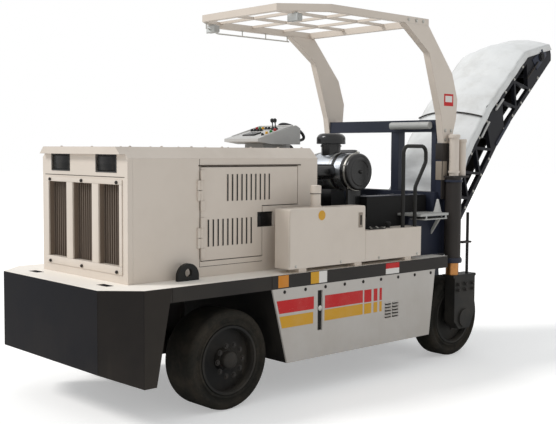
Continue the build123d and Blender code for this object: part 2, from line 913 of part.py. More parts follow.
with BuildPart() as milling_drum:
    cross_bar(DRUM_AFT, DRUM_Z, DRUM_SHELL_R, DRUM_RIGHT, DRUM_LEFT)
    cross_bar(
        DRUM_AFT,
        DRUM_Z,
        SPINDLE_R,
        DRUM_RIGHT - DRUM_SIDE_GAP + PULLEY_GAP,
        DRUM_LEFT + DRUM_SIDE_GAP - PULLEY_GAP,
    )
    row_pitch = (DRUM_W - PICK_BASE) / (PICK_ROWS - 1)
    pick_places = []
    for row in range(PICK_ROWS):
        row_y = DRUM_RIGHT + PICK_BASE / 2 + row * row_pitch
        hand = abs(row - (PICK_ROWS - 1) / 2)
        for number in range(PICKS_IN_ROW):
            turn = hand * PICK_TURN / PICKS_IN_ROW + number * 360 / PICKS_IN_ROW
            pick_places.append(
                Location((aft(DRUM_AFT), row_y, DRUM_Z), (0, turn, 0))
            )
    one_pick = pick()
    with Locations(*pick_places):
        add(one_pick)
save(milling_drum, "milling_drum")

for side, name in ((1, "left"), (-1, "right")):
    save(skirt(side), f"{name}_skirt")

# Hood: clipped-corner shell with door openings, grille front and louvred doors
shell_view = [
    (-HOOD_HALF, DECK_Z),
    (-HOOD_HALF, HOOD_TOP - HOOD_SHOULDER),
    (-HOOD_HALF + HOOD_INSET, HOOD_TOP),
    (HOOD_HALF - HOOD_INSET, HOOD_TOP),
    (HOOD_HALF, HOOD_TOP - HOOD_SHOULDER),
    (HOOD_HALF, DECK_Z),
]
door_outline = [
    (DOOR_FRONT, DOOR_LOW),
    (DOOR_FRONT, DOOR_TOP),
    (DOOR_REAR, DOOR_TOP),
    (DOOR_REAR, TANK_HIGH + 2 * DOOR_PLAY),
    (DOOR_NOTCH, TANK_HIGH + 2 * DOOR_PLAY),
    (DOOR_NOTCH, DOOR_LOW),
]
HINGE_Z = [
    DOOR_LOW + (DOOR_TOP - DOOR_LOW) * share
    for share in (0.25, 0.75)
]
HINGE_Y = HOOD_HALF + HINGE_OUT
HINGE_AFT = DOOR_FRONT + DOOR_PLAY / 2
SHELL_FRONT = HOOD_FRONT + HOOD_PANEL
with BuildPart() as hood_shell:
    with BuildSketch(Plane.YZ.offset(aft(HOOD_REAR))):
        Polygon(*shell_view, align=None)
    extrude(amount=HOOD_REAR - SHELL_FRONT)
    with BuildSketch(Plane.YZ.offset(aft(HOOD_REAR - HOOD_WALL))):
        Polygon(
            (-HOOD_HALF + HOOD_WALL, DECK_Z),
            (-HOOD_HALF + HOOD_WALL, HOOD_TOP - HOOD_SHOULDER),
            (-HOOD_HALF + HOOD_INSET, HOOD_TOP - HOOD_WALL),
            (HOOD_HALF - HOOD_INSET, HOOD_TOP - HOOD_WALL),
            (HOOD_HALF - HOOD_WALL, HOOD_TOP - HOOD_SHOULDER),
            (HOOD_HALF - HOOD_WALL, DECK_Z),
            align=None,
        )
    extrude(amount=HOOD_REAR - SHELL_FRONT, mode=Mode.SUBTRACT)
    for side in (1, -1):
        wall = sorted((side * (HOOD_HALF - 2 * HOOD_WALL), side * (HOOD_HALF + 1)))
        with BuildSketch(side_plane(wall[1])):
            Polygon(*outline(door_outline), align=None)
        extrude(amount=wall[1] - wall[0], mode=Mode.SUBTRACT)
        block(
            DOOR_NOTCH,
            RECESS_REAR,
            *wall,
            RECESS_LOW,
            RECESS_HIGH,
            mode=Mode.SUBTRACT,
        )
        for hinge_z in HINGE_Z:
            pin_reach = 2 * HINGE_L + 4
            post(
                HINGE_AFT,
                side * HINGE_Y,
                HINGE_PIN_R,
                hinge_z - pin_reach,
                hinge_z + pin_reach,
            )
            for low in (hinge_z - HINGE_L - 2, hinge_z + 2):
                post(HINGE_AFT, side * HINGE_Y, HINGE_R, low, low + HINGE_L)
                leaf = sorted((side * (HOOD_HALF - 1), side * HINGE_Y))
                block(DOOR_FRONT - 30, HINGE_AFT, *leaf, low, low + HINGE_L)
save(hood_shell, "hood_shell")

with BuildPart() as hood_front:
    with BuildSketch(Plane.YZ.offset(aft(SHELL_FRONT))):
        Polygon(*shell_view, align=None)
        with Locations((0, (WINDOW_LOW + WINDOW_HIGH) / 2)):
            with GridLocations(WINDOW_PITCH, 1, 3, 1):
                Rectangle(WINDOW_W, WINDOW_HIGH - WINDOW_LOW, mode=Mode.SUBTRACT)
        with Locations((LAMP_Y, LAMP_Z), (-LAMP_Y, LAMP_Z)):
            Rectangle(LAMP_W, LAMP_H, mode=Mode.SUBTRACT)
    extrude(amount=HOOD_PANEL)
    with BuildSketch(Plane.YZ.offset(aft(HOOD_FRONT))):
        Polygon(*shell_view, align=None)
        with Locations((0, DECK_Z)):
            Rectangle(
                3 * HOOD_HALF,
                2 * (HOOD_TOP - VISOR_H - DECK_Z),
                mode=Mode.SUBTRACT,
            )
    extrude(amount=VISOR)
save(hood_front, "hood_front")

with BuildPart() as grille:
    with BuildSketch(Plane.YZ.offset(aft(SHELL_FRONT + GRILLE_T))):
        with Locations((0, (WINDOW_LOW + WINDOW_HIGH) / 2)):
            Rectangle(
                2 * WINDOW_PITCH + WINDOW_W + 60,
                WINDOW_HIGH - WINDOW_LOW + 60,
            )
            slot_pitch = WINDOW_W / GRILLE_BARS
            with GridLocations(WINDOW_PITCH, 1, 3, 1):
                with GridLocations(slot_pitch, 1, GRILLE_BARS, 1):
                    Rectangle(
                        slot_pitch * 0.66,
                        WINDOW_HIGH - WINDOW_LOW,
                        mode=Mode.SUBTRACT,
                    )
    extrude(amount=GRILLE_T)
save(grille, "grille")

RADIATOR_FRONT = SHELL_FRONT + 3 * GRILLE_T
with BuildPart() as radiator_core:
    block(
        RADIATOR_FRONT,
        RADIATOR_FRONT + RADIATOR_T,
        -WINDOW_PITCH - WINDOW_W / 2,
        WINDOW_PITCH + WINDOW_W / 2,
        DECK_Z,
        WINDOW_HIGH + 40,
    )
save(radiator_core, "radiator_core")

with BuildPart() as engine_block:
    block(ENGINE_FRONT, ENGINE_REAR, -ENGINE_HALF, ENGINE_HALF, DECK_Z, ENGINE_TOP)
save(engine_block, "engine_block")

with BuildPart() as headlamps:
    for side in (1, -1):
        with Locations(
            (aft(SHELL_FRONT - LAMP_DEPTH / 2 + 12), side * LAMP_Y, LAMP_Z)
        ):
            Box(LAMP_DEPTH / 2, LAMP_W - 1, LAMP_H - 1)
save(headlamps, "headlamps")


def hood_door(side):
    """Notched hood door with two louvre banks, hinge barrels and its latch."""
    inner = side * (HOOD_HALF - HOOD_WALL)
    outer = side * HOOD_HALF
    wall = sorted((inner, outer))
    with BuildPart() as piece:
        with BuildSketch(side_plane(wall[1])):
            with BuildLine():
                Polyline(*outline(door_outline), close=True)
            make_face()
            offset(amount=-DOOR_PLAY, kind=Kind.INTERSECTION, mode=Mode.REPLACE)
            for first_aft, middle_z in (
                (LOUVRE_HIGH_AFT, LOUVRE_HIGH_Z),
                (LOUVRE_LOW_AFT, LOUVRE_LOW_Z),
            ):
                with Locations(
                    *[
                        (aft(first_aft + number * LOUVRE_PITCH), middle_z)
                        for number in range(LOUVRES)
                    ]
                ):
                    Rectangle(LOUVRE_W, LOUVRE_H, mode=Mode.SUBTRACT)
            with Locations(
                (
                    (aft(RECESS_FRONT) + aft(DOOR_NOTCH)) / 2,
                    (RECESS_LOW + RECESS_HIGH) / 2,
                )
            ):
                Rectangle(
                    DOOR_NOTCH - RECESS_FRONT,
                    RECESS_HIGH - RECESS_LOW,
                    mode=Mode.SUBTRACT,
                )
        extrude(amount=HOOD_WALL)
        for hinge_z in HINGE_Z:
            for low in (hinge_z - 2 * HINGE_L - 4, hinge_z + HINGE_L + 4):
                post(HINGE_AFT, side * HINGE_Y, HINGE_R, low, low + HINGE_L)
                leaf = sorted((side * (HOOD_HALF - 1), side * HINGE_Y))
                block(HINGE_AFT, DOOR_FRONT + 36, *leaf, low, low + HINGE_L)
                post(
                    HINGE_AFT,
                    side * HINGE_Y,
                    HINGE_PIN_R + PIN_PLAY,
                    low,
                    low + HINGE_L,
                    mode=Mode.SUBTRACT,
                )
    return piece


for side, name in ((1, "left"), (-1, "right")):
    save(hood_door(side), f"{name}_door")

# Side tanks with a high forward part, a low rear part and a filler
tank_outline = [
    (TANK_FRONT, TANK_Z),
    (TANK_FRONT, TANK_HIGH),
    (TANK_STEP, TANK_HIGH),
    (TANK_STEP, TANK_LOW),
    (TANK_REAR, TANK_LOW),
    (TANK_REAR, TANK_Z),
]


def side_tank(side):
    """Side tank on three mounting strips."""
    span = sorted((side * TANK_IN, side * BODY_HALF))
    strip = sorted((side * (TANK_IN + 20), side * (BODY_HALF - 20)))
    with BuildPart() as piece:
        side_plate(outline(tank_outline), *span)
        fillet(piece.edges().filter_by(Axis.Y).group_by(Axis.Z)[-1], TANK_EDGE)
        fillet(piece.edges().filter_by(Axis.Z), TANK_EDGE)
        for share in (0.1, 0.5, 0.9):
            middle = TANK_FRONT + share * (TANK_REAR - TANK_FRONT)
            block(middle - 40, middle + 40, *strip, DECK_Z, TANK_Z)
        neck_top = TANK_HIGH + FILLER_NECK_H
        post(FILLER_AFT, side * FILLER_Y, FILLER_NECK_R, TANK_HIGH, neck_top)
        post(
            FILLER_AFT,
            side * FILLER_Y,
            FILLER_R,
            neck_top,
            TANK_HIGH + FILLER_H,
        )
    return piece


for side, name in ((1, "left"), (-1, "right")):
    save(side_tank(side), f"{name}_tank")

# Operator platform with side boxes, step plates and their braces
with BuildPart() as platform:
    block(PLATFORM_FRONT, FRAME_END, -PLATFORM_HALF, PLATFORM_HALF, DECK_Z, FLOOR_Z)
    for side in (1, -1):
        box = sorted((side * (PLATFORM_HALF - SIDE_BOX_W), side * PLATFORM_HALF))
        block(SIDE_BOX_FRONT, FRAME_END, *box, FLOOR_Z, SIDE_BOX_TOP)
save(platform, "platform")

with BuildPart() as step_plates:
    for side in (1, -1):
        plate = sorted((side * PLATFORM_HALF, side * BODY_HALF))
        block(STEP_FRONT, FRAME_END, *plate, FLOOR_Z, FLOOR_Z + STEP_T)
        foot_y = side * (FRAME_PLATE_Y + FRAME_PLATE_T)
        with BuildSketch(Plane.YZ.offset(aft(BRACE_AFT))):
            Polygon(
                (foot_y, BRACE_FOOT),
                (foot_y, BRACE_FOOT + BRACE_H),
                (side * (BRACE_OUT - BRACE_H), FLOOR_Z),
                (side * BRACE_OUT, FLOOR_Z),
                align=None,
            )
        extrude(amount=BRACE_T)
save(step_plates, "step_plates")


def handrail(side):
    """Tubular handrail loop on the tank, wider above the bend in its rear leg."""
    y = side * RAIL_OUT
    with BuildPart() as piece:
        with BuildLine() as path:
            FilletPolyline(
                (aft(RAIL_FRONT), y, TANK_LOW),
                (aft(RAIL_FRONT), y, RAIL_TOP),
                (aft(RAIL_REAR_TOP), y, RAIL_TOP),
                (aft(RAIL_REAR_TOP), y, RAIL_KINK_HIGH),
                (aft(RAIL_REAR), y, RAIL_KINK_LOW),
                (aft(RAIL_REAR), y, TANK_LOW),
                radius=RAIL_BEND,
            )
        with BuildSketch(Plane(path.wire() @ 0, x_dir=(1, 0, 0), z_dir=(0, 0, 1))):
            Circle(RAIL_R)
        sweep()
    return piece


for side, name in ((1, "left"), (-1, "right")):
    save(handrail(side), f"{name}_handrail")

WHEEL_TILT = 35
WHEEL_AFT = CONSOLE_REAR + STEERING_R * cos(radians(WHEEL_TILT)) - 10
WHEEL_Z = CONSOLE_TOP - 55
column_plane = Plane(
    origin=(aft(WHEEL_AFT), CONSOLE_Y, WHEEL_Z),
    x_dir=(0, 1, 0),
    z_dir=(-sin(radians(WHEEL_TILT)), 0, cos(radians(WHEEL_TILT))),
)
console_side = [
    (CONSOLE_FRONT, CONSOLE_LOW + 20),
    (CONSOLE_FRONT, CONSOLE_LOW + 45),
    (CONSOLE_REAR - 50, CONSOLE_TOP),
    (CONSOLE_REAR, CONSOLE_TOP - 25),
    (CONSOLE_REAR, CONSOLE_LOW),
    (PEDESTAL_FRONT, CONSOLE_LOW),
]
with BuildPart() as console:
    side_plate(
        outline(console_side),
        CONSOLE_Y - CONSOLE_HALF,
        CONSOLE_Y + CONSOLE_HALF,
    )
    block(
        PEDESTAL_FRONT,
        PEDESTAL_REAR,
        CONSOLE_Y - PEDESTAL_HALF,
        CONSOLE_Y + PEDESTAL_HALF,
        FLOOR_Z,
        CONSOLE_LOW,
    )
    block(
        CONSOLE_REAR - 60,
        CONSOLE_REAR + 45,
        CONSOLE_Y - COLUMN_BOX_HALF,
        CONSOLE_Y + COLUMN_BOX_HALF,
        CONSOLE_LOW - 35,
        CONSOLE_LOW + 20,
    )
    with BuildSketch(column_plane.offset(-STEERING_ROD)):
        Circle(STEERING_ROD * 1.5)
    extrude(amount=-STEERING_SHAFT)
save(console, "console")

with BuildPart() as steering_wheel:
    with BuildSketch(column_plane):
        Circle(STEERING_R)
        Circle(STEERING_R - 2 * STEERING_ROD, mode=Mode.SUBTRACT)
        Circle(STEERING_ROD * 2)
        with PolarLocations(STEERING_R / 2, 3):
            Rectangle(STEERING_R - STEERING_ROD, STEERING_ROD)
    extrude(amount=STEERING_ROD, both=True)
save(steering_wheel, "steering_wheel")

with BuildPart() as seat:
    seat_rear = SEAT_AFT + SEAT_LEN / 2
    seat_front = SEAT_AFT - SEAT_LEN / 2
    right = CONSOLE_Y - SEAT_HALF
    left = CONSOLE_Y + SEAT_HALF
    block(seat_front + 70, seat_rear - 70, right + 90, left - 90, FLOOR_Z, SEAT_BASE_TOP)
    seat_profile = [
        (seat_front, SEAT_BASE_TOP),
        (seat_front, SEAT_BASE_TOP + CUSHION_T),
        (seat_rear - SEAT_BACK_T - 20, SEAT_BASE_TOP + CUSHION_T - 15),
        (seat_rear - SEAT_BACK_T + 10, SEAT_BACK_TOP),
        (seat_rear + 20, SEAT_BACK_TOP),
        (seat_rear, SEAT_BASE_TOP),
    ]
    side_plate(outline(seat_profile), right, left)
save(seat, "seat")

# Air cleaner: drum across the machine on two saddles, with cap and intake pipe
with BuildPart() as air_cleaner:
    cross_bar(CLEANER_AFT, CLEANER_Z, CLEANER_R, CLEANER_RIGHT, CLEANER_LEFT)
    fillet(air_cleaner.edges().filter_by(GeomType.CIRCLE), CLEANER_EDGE)
    cross_bar(CLEANER_AFT, CLEANER_Z, CLEANER_R + CLAMP_OUT, CLAMP_Y, CLAMP_Y + CLAMP_W)
    with BuildSketch(Plane.YZ.offset(aft(CLEANER_AFT))):
        with Locations((INTAKE_Y, CLEANER_Z)):
            Circle(INTAKE_R)
    extrude(amount=CLEANER_AFT - HOOD_REAR)
    post(CLEANER_AFT, NECK_Y, NECK_R, CLEANER_Z, CAP_LOW)
    post(CLEANER_AFT, NECK_Y, CAP_R, CAP_LOW, CAP_TOP)
    fillet(air_cleaner.faces().sort_by(Axis.Z)[-1].edges(), (CAP_TOP - CAP_LOW) * 0.6)
    for saddle_y in SADDLE_Y:
        block(
            CLEANER_AFT - SADDLE_HALF,
            CLEANER_AFT + SADDLE_HALF,
            saddle_y,
            saddle_y + SADDLE_T,
            FLOOR_Z,
            CLEANER_Z - CLEANER_R * 0.8,
        )
save(air_cleaner, "air_cleaner")

# Rear frame: side plates, cross beam, column sleeves and the slewing bracket
PLATE_OUT = FRAME_PLATE_Y + FRAME_PLATE_T
plate_side = [
    (FRAME_PLATE_FRONT, DECK_Z),
    (FRAME_PLATE_FRONT, FLOOR_Z),
    (FRAME_END, FLOOR_Z),
    (CROSS_FRONT, CROSS_TOP),
    (CROSS_REAR, CROSS_TOP),
    (CROSS_REAR, DECK_Z),
]
BRACKET_T = 36
BRACKET_LOW = CROSS_LOW - BRACKET_T
with BuildPart() as rear_frame:
    block(CROSS_FRONT, CROSS_BEAM_REAR, -PLATE_OUT, PLATE_OUT, CROSS_LOW, CROSS_TOP)
    block(
        CROSS_FRONT,
        SLEW_AFT + 95,
        -110,
        110,
        BRACKET_LOW,
        CROSS_LOW,
    )
    post(
        SLEW_AFT,
        0,
        SLEW_PIN_R + PIN_PLAY,
        BRACKET_LOW,
        CROSS_LOW,
        mode=Mode.SUBTRACT,
    )
    for side in (1, -1):
        plate = sorted((side * FRAME_PLATE_Y, side * PLATE_OUT))
        side_plate(outline(plate_side), *plate)
        web = sorted((side * FRAME_PLATE_Y, side * COLUMN_Y))
        block(
            COLUMN_AFT - 30,
            COLUMN_AFT + 30,
            *web,
            DECK_Z,
            SLEEVE_TOP,
        )
        upright = sorted((side * (POST_Y - UPRIGHT_W / 2), side * (POST_Y + UPRIGHT_W / 2)))
        block(
            RAIL_BEAM_FRONT - 10,
            RAIL_BEAM_REAR + 20,
            *upright,
            CROSS_TOP - 60,
            POST_FOOT,
        )
        post(COLUMN_AFT, side * COLUMN_Y, SLEEVE_R, SLEEVE_Z, SLEEVE_TOP)
        post(
            COLUMN_AFT,
            side * COLUMN_Y,
            COLUMN_R + COLUMN_PLAY,
            SLEEVE_Z,
            SLEEVE_TOP,
            mode=Mode.SUBTRACT,
        )
        cap = sorted((side * (COLUMN_Y - 52), side * (COLUMN_Y + 52)))
        block(
            COLUMN_AFT - 74,
            STORE_AFT + STORE_R + 8,
            *cap,
            SLEEVE_TOP - 1,
            SLEEVE_TOP + CAP_T,
        )
        guide = sorted((side * (COLUMN_Y + 10), side * FORK_OUT))
        block(
            COLUMN_AFT + SLEEVE_R - 8,
            DEPTH_ROD_AFT + GUIDE_EDGE,
            *guide,
            GUIDE_Z,
            GUIDE_Z + GUIDE_T,
        )
        post(
            DEPTH_ROD_AFT,
            side * (FORK_OUT - 24),
            DEPTH_ROD_R + 5,
            GUIDE_Z,
            GUIDE_Z + GUIDE_T,
            mode=Mode.SUBTRACT,
        )
save(rear_frame, "rear_frame")

with BuildPart() as leg_cylinders:
    for side in (1, -1):
        post(
            COLUMN_AFT,
            side * COLUMN_Y,
            CYLINDER_R,
            SLEEVE_TOP + CAP_T,
            CYLINDER_TOP,
        )
        post(
            STORE_AFT,
            side * COLUMN_Y,
            STORE_R,
            SLEEVE_TOP + CAP_T,
            STORE_TOP,
        )
save(leg_cylinders, "leg_cylinders")

with BuildPart() as back_rail:
    rail_half = POST_Y - POST_W / 2
    block(
        RAIL_BEAM_FRONT,
        RAIL_BEAM_REAR,
        -rail_half,
        rail_half,
        RAIL_BEAM_LOW,
        RAIL_BEAM_TOP,
    )
    block(
        (RAIL_BEAM_FRONT + RAIL_BEAM_REAR - MID_POST_W) / 2,
        (RAIL_BEAM_FRONT + RAIL_BEAM_REAR + MID_POST_W) / 2,
        MID_POST_Y - MID_POST_W / 2,
        MID_POST_Y + MID_POST_W / 2,
        CROSS_TOP,
        RAIL_BEAM_LOW,
    )
save(back_rail, "back_rail")

# Canopy: bent tapering posts and a lattice roof that narrows at its nose
ROOF_LOW = ROOF_TOP - ROOF_DEPTH
post_side = [
    (3458, POST_FOOT),
    (3420, POST_FOOT + 245),
    (3240, ROOF_LOW - 225),
    (ROOF_REAR - 310, ROOF_LOW),
    (ROOF_REAR, ROOF_LOW),
    (3565, ROOF_LOW - 385),
    (3645, POST_FOOT + 385),
    (3630, POST_FOOT + 215),
    (3560, POST_FOOT),
]
with BuildPart() as canopy_posts:
    for side in (1, -1):
        span = sorted((side * (POST_Y - POST_W / 2), side * (POST_Y + POST_W / 2)))
        side_plate(outline(post_side), *span)
save(canopy_posts, "canopy_posts")

ROOF_HALF = POST_Y + POST_W / 2
roof_plan = [
    (aft(ROOF_FRONT), -ROOF_NOSE_HALF),
    (aft(ROOF_FRONT), ROOF_NOSE_HALF),
    (aft(ROOF_BEND), ROOF_HALF),
    (aft(ROOF_REAR), ROOF_HALF),
    (aft(ROOF_REAR), -ROOF_HALF),
    (aft(ROOF_BEND), -ROOF_HALF),
]
with BuildPart() as canopy_roof:
    with BuildSketch(Plane.XY.offset(ROOF_LOW)):
        Polygon(*roof_plan, align=None)
        with BuildSketch(mode=Mode.PRIVATE) as inside:
            Polygon(*roof_plan, align=None)
            offset(amount=-ROOF_RIM, kind=Kind.INTERSECTION, mode=Mode.REPLACE)
        add(inside.sketch, mode=Mode.SUBTRACT)
    extrude(amount=ROOF_DEPTH)
    with BuildSketch(Plane.XY.offset(ROOF_TOP - LATTICE_T)):
        Polygon(*roof_plan, align=None)
        roof_len = ROOF_REAR - ROOF_FRONT
        with BuildSketch(mode=Mode.PRIVATE) as openings:
            Polygon(*roof_plan, align=None)
            offset(amount=-ROOF_RIM / 2, kind=Kind.INTERSECTION, mode=Mode.REPLACE)
            for row in range(1, LATTICE_ROWS):
                with Locations((aft(ROOF_FRONT + row * roof_len / LATTICE_ROWS), 0)):
                    Rectangle(LATTICE_BAR, 3 * ROOF_HALF, mode=Mode.SUBTRACT)
            for lane in range(1, LATTICE_COLUMNS):
                lane_y = -ROOF_HALF + lane * 2 * ROOF_HALF / LATTICE_COLUMNS
                with Locations((0, lane_y)):
                    Rectangle(20 * ROOF_HALF, LATTICE_BAR, mode=Mode.SUBTRACT)
        add(openings.sketch, mode=Mode.SUBTRACT)
    extrude(amount=LATTICE_T)
save(canopy_roof, "canopy_roof")

with BuildPart() as canopy_lamps:
    for side in (1, -1):
        middle = side * CANOPY_LAMP_Y
        block(
            CANOPY_LAMP_AFT,
            CANOPY_LAMP_AFT + CANOPY_LAMP_L,
            middle - CANOPY_LAMP_W / 2,
            middle + CANOPY_LAMP_W / 2,
            ROOF_LOW - CANOPY_LAMP_H,
            ROOF_LOW,
        )
    lamp_edges = canopy_lamps.edges().filter_by(Axis.Y).group_by(Axis.Z)[0]
    fillet(lamp_edges, CANOPY_LAMP_L * 0.3)
save(canopy_lamps, "canopy_lamps")

# Conveyor: truss sides, pulleys, belt and tarpaulin
head_droop = [(TIP_RUN + 84, 60), (2950, 192), (DROOP_RUN, BOARD_TOP)]
truss_outline = [
    (FOOT_RUN, CHORD_LOW),
    (KNEE_RUN, CHORD_LOW),
    (TIP_RUN, CHORD_LOW),
    (TIP_RUN + 38, CHORD_LOW + 45),
    *head_droop,
    (KNEE_RUN, BOARD_TOP),
    (BOARD_FULL, BOARD_TOP),
    (BOARD_START, CHORD_HIGH),
    (TRUSS_START + 85, CHORD_HIGH),
    (TRUSS_START - 15, FOOT_TOP),
    (FOOT_RUN + 60, FOOT_TOP),
    (FOOT_RUN, DRUM_RISE),
]
HEAD_RUN = TIP_RUN - HEAD_SETBACK
CHORD_IN_LOW = CHORD_LOW + CHORD_W
CHORD_IN_HIGH = CHORD_HIGH - CHORD_W
bay_count = int((HEAD_RUN - PULLEY_R - TRUSS_START) / BAY_RUN)
LIFT_EYE = conveyor_point(LIFT_RUN, -LIFT_DROP)


def truss_windows():
    """Triangular windows between the braces, base down and up in turn."""
    windows = []
    depth = CHORD_IN_HIGH - CHORD_IN_LOW
    toe = BRACE_W / 2 * hypot(BAY_RUN, depth) / depth
    for bay in range(bay_count - 1):
        start = TRUSS_START + bay * BAY_RUN
        end = start + 2 * BAY_RUN
        if start < KNEE_RUN < end:
            continue
        base, apex = CHORD_IN_LOW, CHORD_IN_HIGH
        if bay % 2:
            base, apex = CHORD_IN_HIGH, CHORD_IN_LOW
        lean = (apex - base) * (1 - toe / BAY_RUN)
        windows.append(
            belt_line(
                [
                    (start + toe, base),
                    (end - toe, base),
                    ((start + end) / 2, base + lean),
                ]
            )
        )
    return windows


with BuildPart() as conveyor_truss:
    for side in (1, -1):
        span = sorted((side * (TRUSS_HALF - TRUSS_T), side * TRUSS_HALF))
        with BuildSketch(side_plane(span[1])):
            Polygon(*belt_line(truss_outline), align=None)
            for window in truss_windows():
                Polygon(*window, align=None, mode=Mode.SUBTRACT)
            with Locations((aft(LUFF_AFT), LUFF_Z)):
                Circle(LUFF_PIN_R + PIN_PLAY, mode=Mode.SUBTRACT)
        extrude(amount=TRUSS_T)
    inner = TRUSS_HALF - TRUSS_T
    for run in (420, LIFT_RUN, KNEE_RUN - 120, 2400, HEAD_RUN - 60):
        bar = belt_line(
            [
                (run - 30, CHORD_LOW),
                (run + 30, CHORD_LOW),
                (run + 30, CHORD_LOW + 20),
                (run - 30, CHORD_LOW + 20),
            ]
        )
        side_plate(bar, -inner, inner)
    idler_runs = [TRUSS_START + (bay + 0.5) * BAY_RUN for bay in range(0, bay_count, IDLER_BAYS)]
    for run in (FOOT_IDLER_RUN, *idler_runs):
        cross_bar(*conveyor_point(run, DRUM_RISE), IDLER_R, -inner, inner)
    for side in (1, -1):
        lug = sorted((side * LUG_IN, side * (LUG_IN + LUG_T)))
        lug_view = belt_line(
            [
                (LIFT_RUN - 55, CHORD_LOW + 1),
                (LIFT_RUN + 55, CHORD_LOW + 1),
                (LIFT_RUN + 34, -LIFT_DROP - 38),
                (LIFT_RUN - 34, -LIFT_DROP - 38),
            ]
        )
        side_plate(lug_view, *lug)
    cross_bar(*LIFT_EYE, EYE_PIN_R, -LUG_IN - LUG_T, LUG_IN + LUG_T)
save(conveyor_truss, "conveyor_truss")

with BuildPart() as conveyor_pulleys:
    for run in (TAIL_RUN, HEAD_RUN):
        centre = conveyor_point(run, DRUM_RISE)
        cross_bar(*centre, PULLEY_R - PULLEY_GAP, -BELT_HALF, BELT_HALF)
        cross_bar(*centre, SHAFT_R, -inner, inner)
save(conveyor_pulleys, "conveyor_pulleys")


def belt_loop(radius):
    """Side view of the belt's path at this distance from its middle line."""
    low = [
        (TAIL_RUN, DRUM_RISE - radius),
        (KNEE_RUN, DRUM_RISE - radius),
        (HEAD_RUN, DRUM_RISE - radius),
    ]
    high = [
        (HEAD_RUN, DRUM_RISE + radius),
        (KNEE_RUN, DRUM_RISE + radius),
        (TAIL_RUN, DRUM_RISE + radius),
    ]
    with BuildSketch(side_plane(BELT_HALF)) as loop:
        Polygon(*belt_line(low + high), align=None)
        ends = [conveyor_point(run, DRUM_RISE) for run in (TAIL_RUN, HEAD_RUN)]
        with Locations(*outline(ends)):
            Circle(radius)
    return loop.sketch


with BuildPart() as conveyor_belt:
    extrude(belt_loop(PULLEY_R + BELT_T), amount=2 * BELT_HALF)
    extrude(belt_loop(PULLEY_R), amount=2 * BELT_HALF, mode=Mode.SUBTRACT)
save(conveyor_belt, "conveyor_belt")

cover_start = conveyor_point(COVER_RUN, CHORD_HIGH)
cover_path = [
    conveyor_point(COVER_RUN, CHORD_HIGH),
    conveyor_point(BOARD_START, CHORD_HIGH),
    conveyor_point(BOARD_FULL, BOARD_TOP),
    conveyor_point(KNEE_RUN, BOARD_TOP),
    conveyor_point(DROOP_RUN, BOARD_TOP),
    conveyor_point(2950, 192),
    conveyor_point(TIP_RUN + 70, 70),
]
cover_plane = Plane(
    origin=(aft(cover_start[0]), 0, cover_start[1]),
    x_dir=(0, -1, 0),
    z_dir=(-cos(radians(SLOPE_LOW)), 0, sin(radians(SLOPE_LOW))),
)
with BuildPart() as conveyor_cover:
    with BuildLine() as cover_line:
        Polyline(*[(aft(distance), 0, height) for distance, height in cover_path])
    with BuildSketch(cover_plane):
        with BuildLine():
            ThreePointArc((-COVER_HALF, 0), (0, COVER_RISE), (COVER_HALF, 0))
            Line((COVER_HALF, 0), (COVER_HALF - COVER_T, 0))
            ThreePointArc(
                (COVER_HALF - COVER_T, 0),
                (0, COVER_RISE - COVER_T),
                (-COVER_HALF + COVER_T, 0),
            )
            Line((-COVER_HALF + COVER_T, 0), (-COVER_HALF, 0))
        make_face()
    sweep(path=cover_line.wire(), transition=Transition.RIGHT)
save(conveyor_cover, "conveyor_cover")

# Slewing yoke: ring, base, raked cheeks, tapered bridge with its king pin, lift lugs
YOKE_BASE_Z = TONGUE_TOP + YOKE_RING_H
yoke_side = [
    (SLEW_AFT - YOKE_HALF_LEN, YOKE_BASE_Z),
    (SLEW_AFT + YOKE_HALF_LEN, YOKE_BASE_Z),
    (SLEW_AFT + YOKE_HALF_LEN, YOKE_BASE_Z + 110),
    (SLEW_AFT + YOKE_UPPER_REAR, YOKE_STEP_Z),
    (SLEW_AFT + YOKE_UPPER_REAR, YOKE_TOP + BRIDGE_T),
    (SLEW_AFT - YOKE_UPPER_FRONT, YOKE_TOP + BRIDGE_T),
    (SLEW_AFT - YOKE_UPPER_FRONT, YOKE_STEP_Z),
    (SLEW_AFT - YOKE_HALF_LEN / 2, LUFF_Z + 140),
    (SLEW_AFT - YOKE_HALF_LEN, LUFF_Z),
]
YOKE_OUT = YOKE_IN + YOKE_T
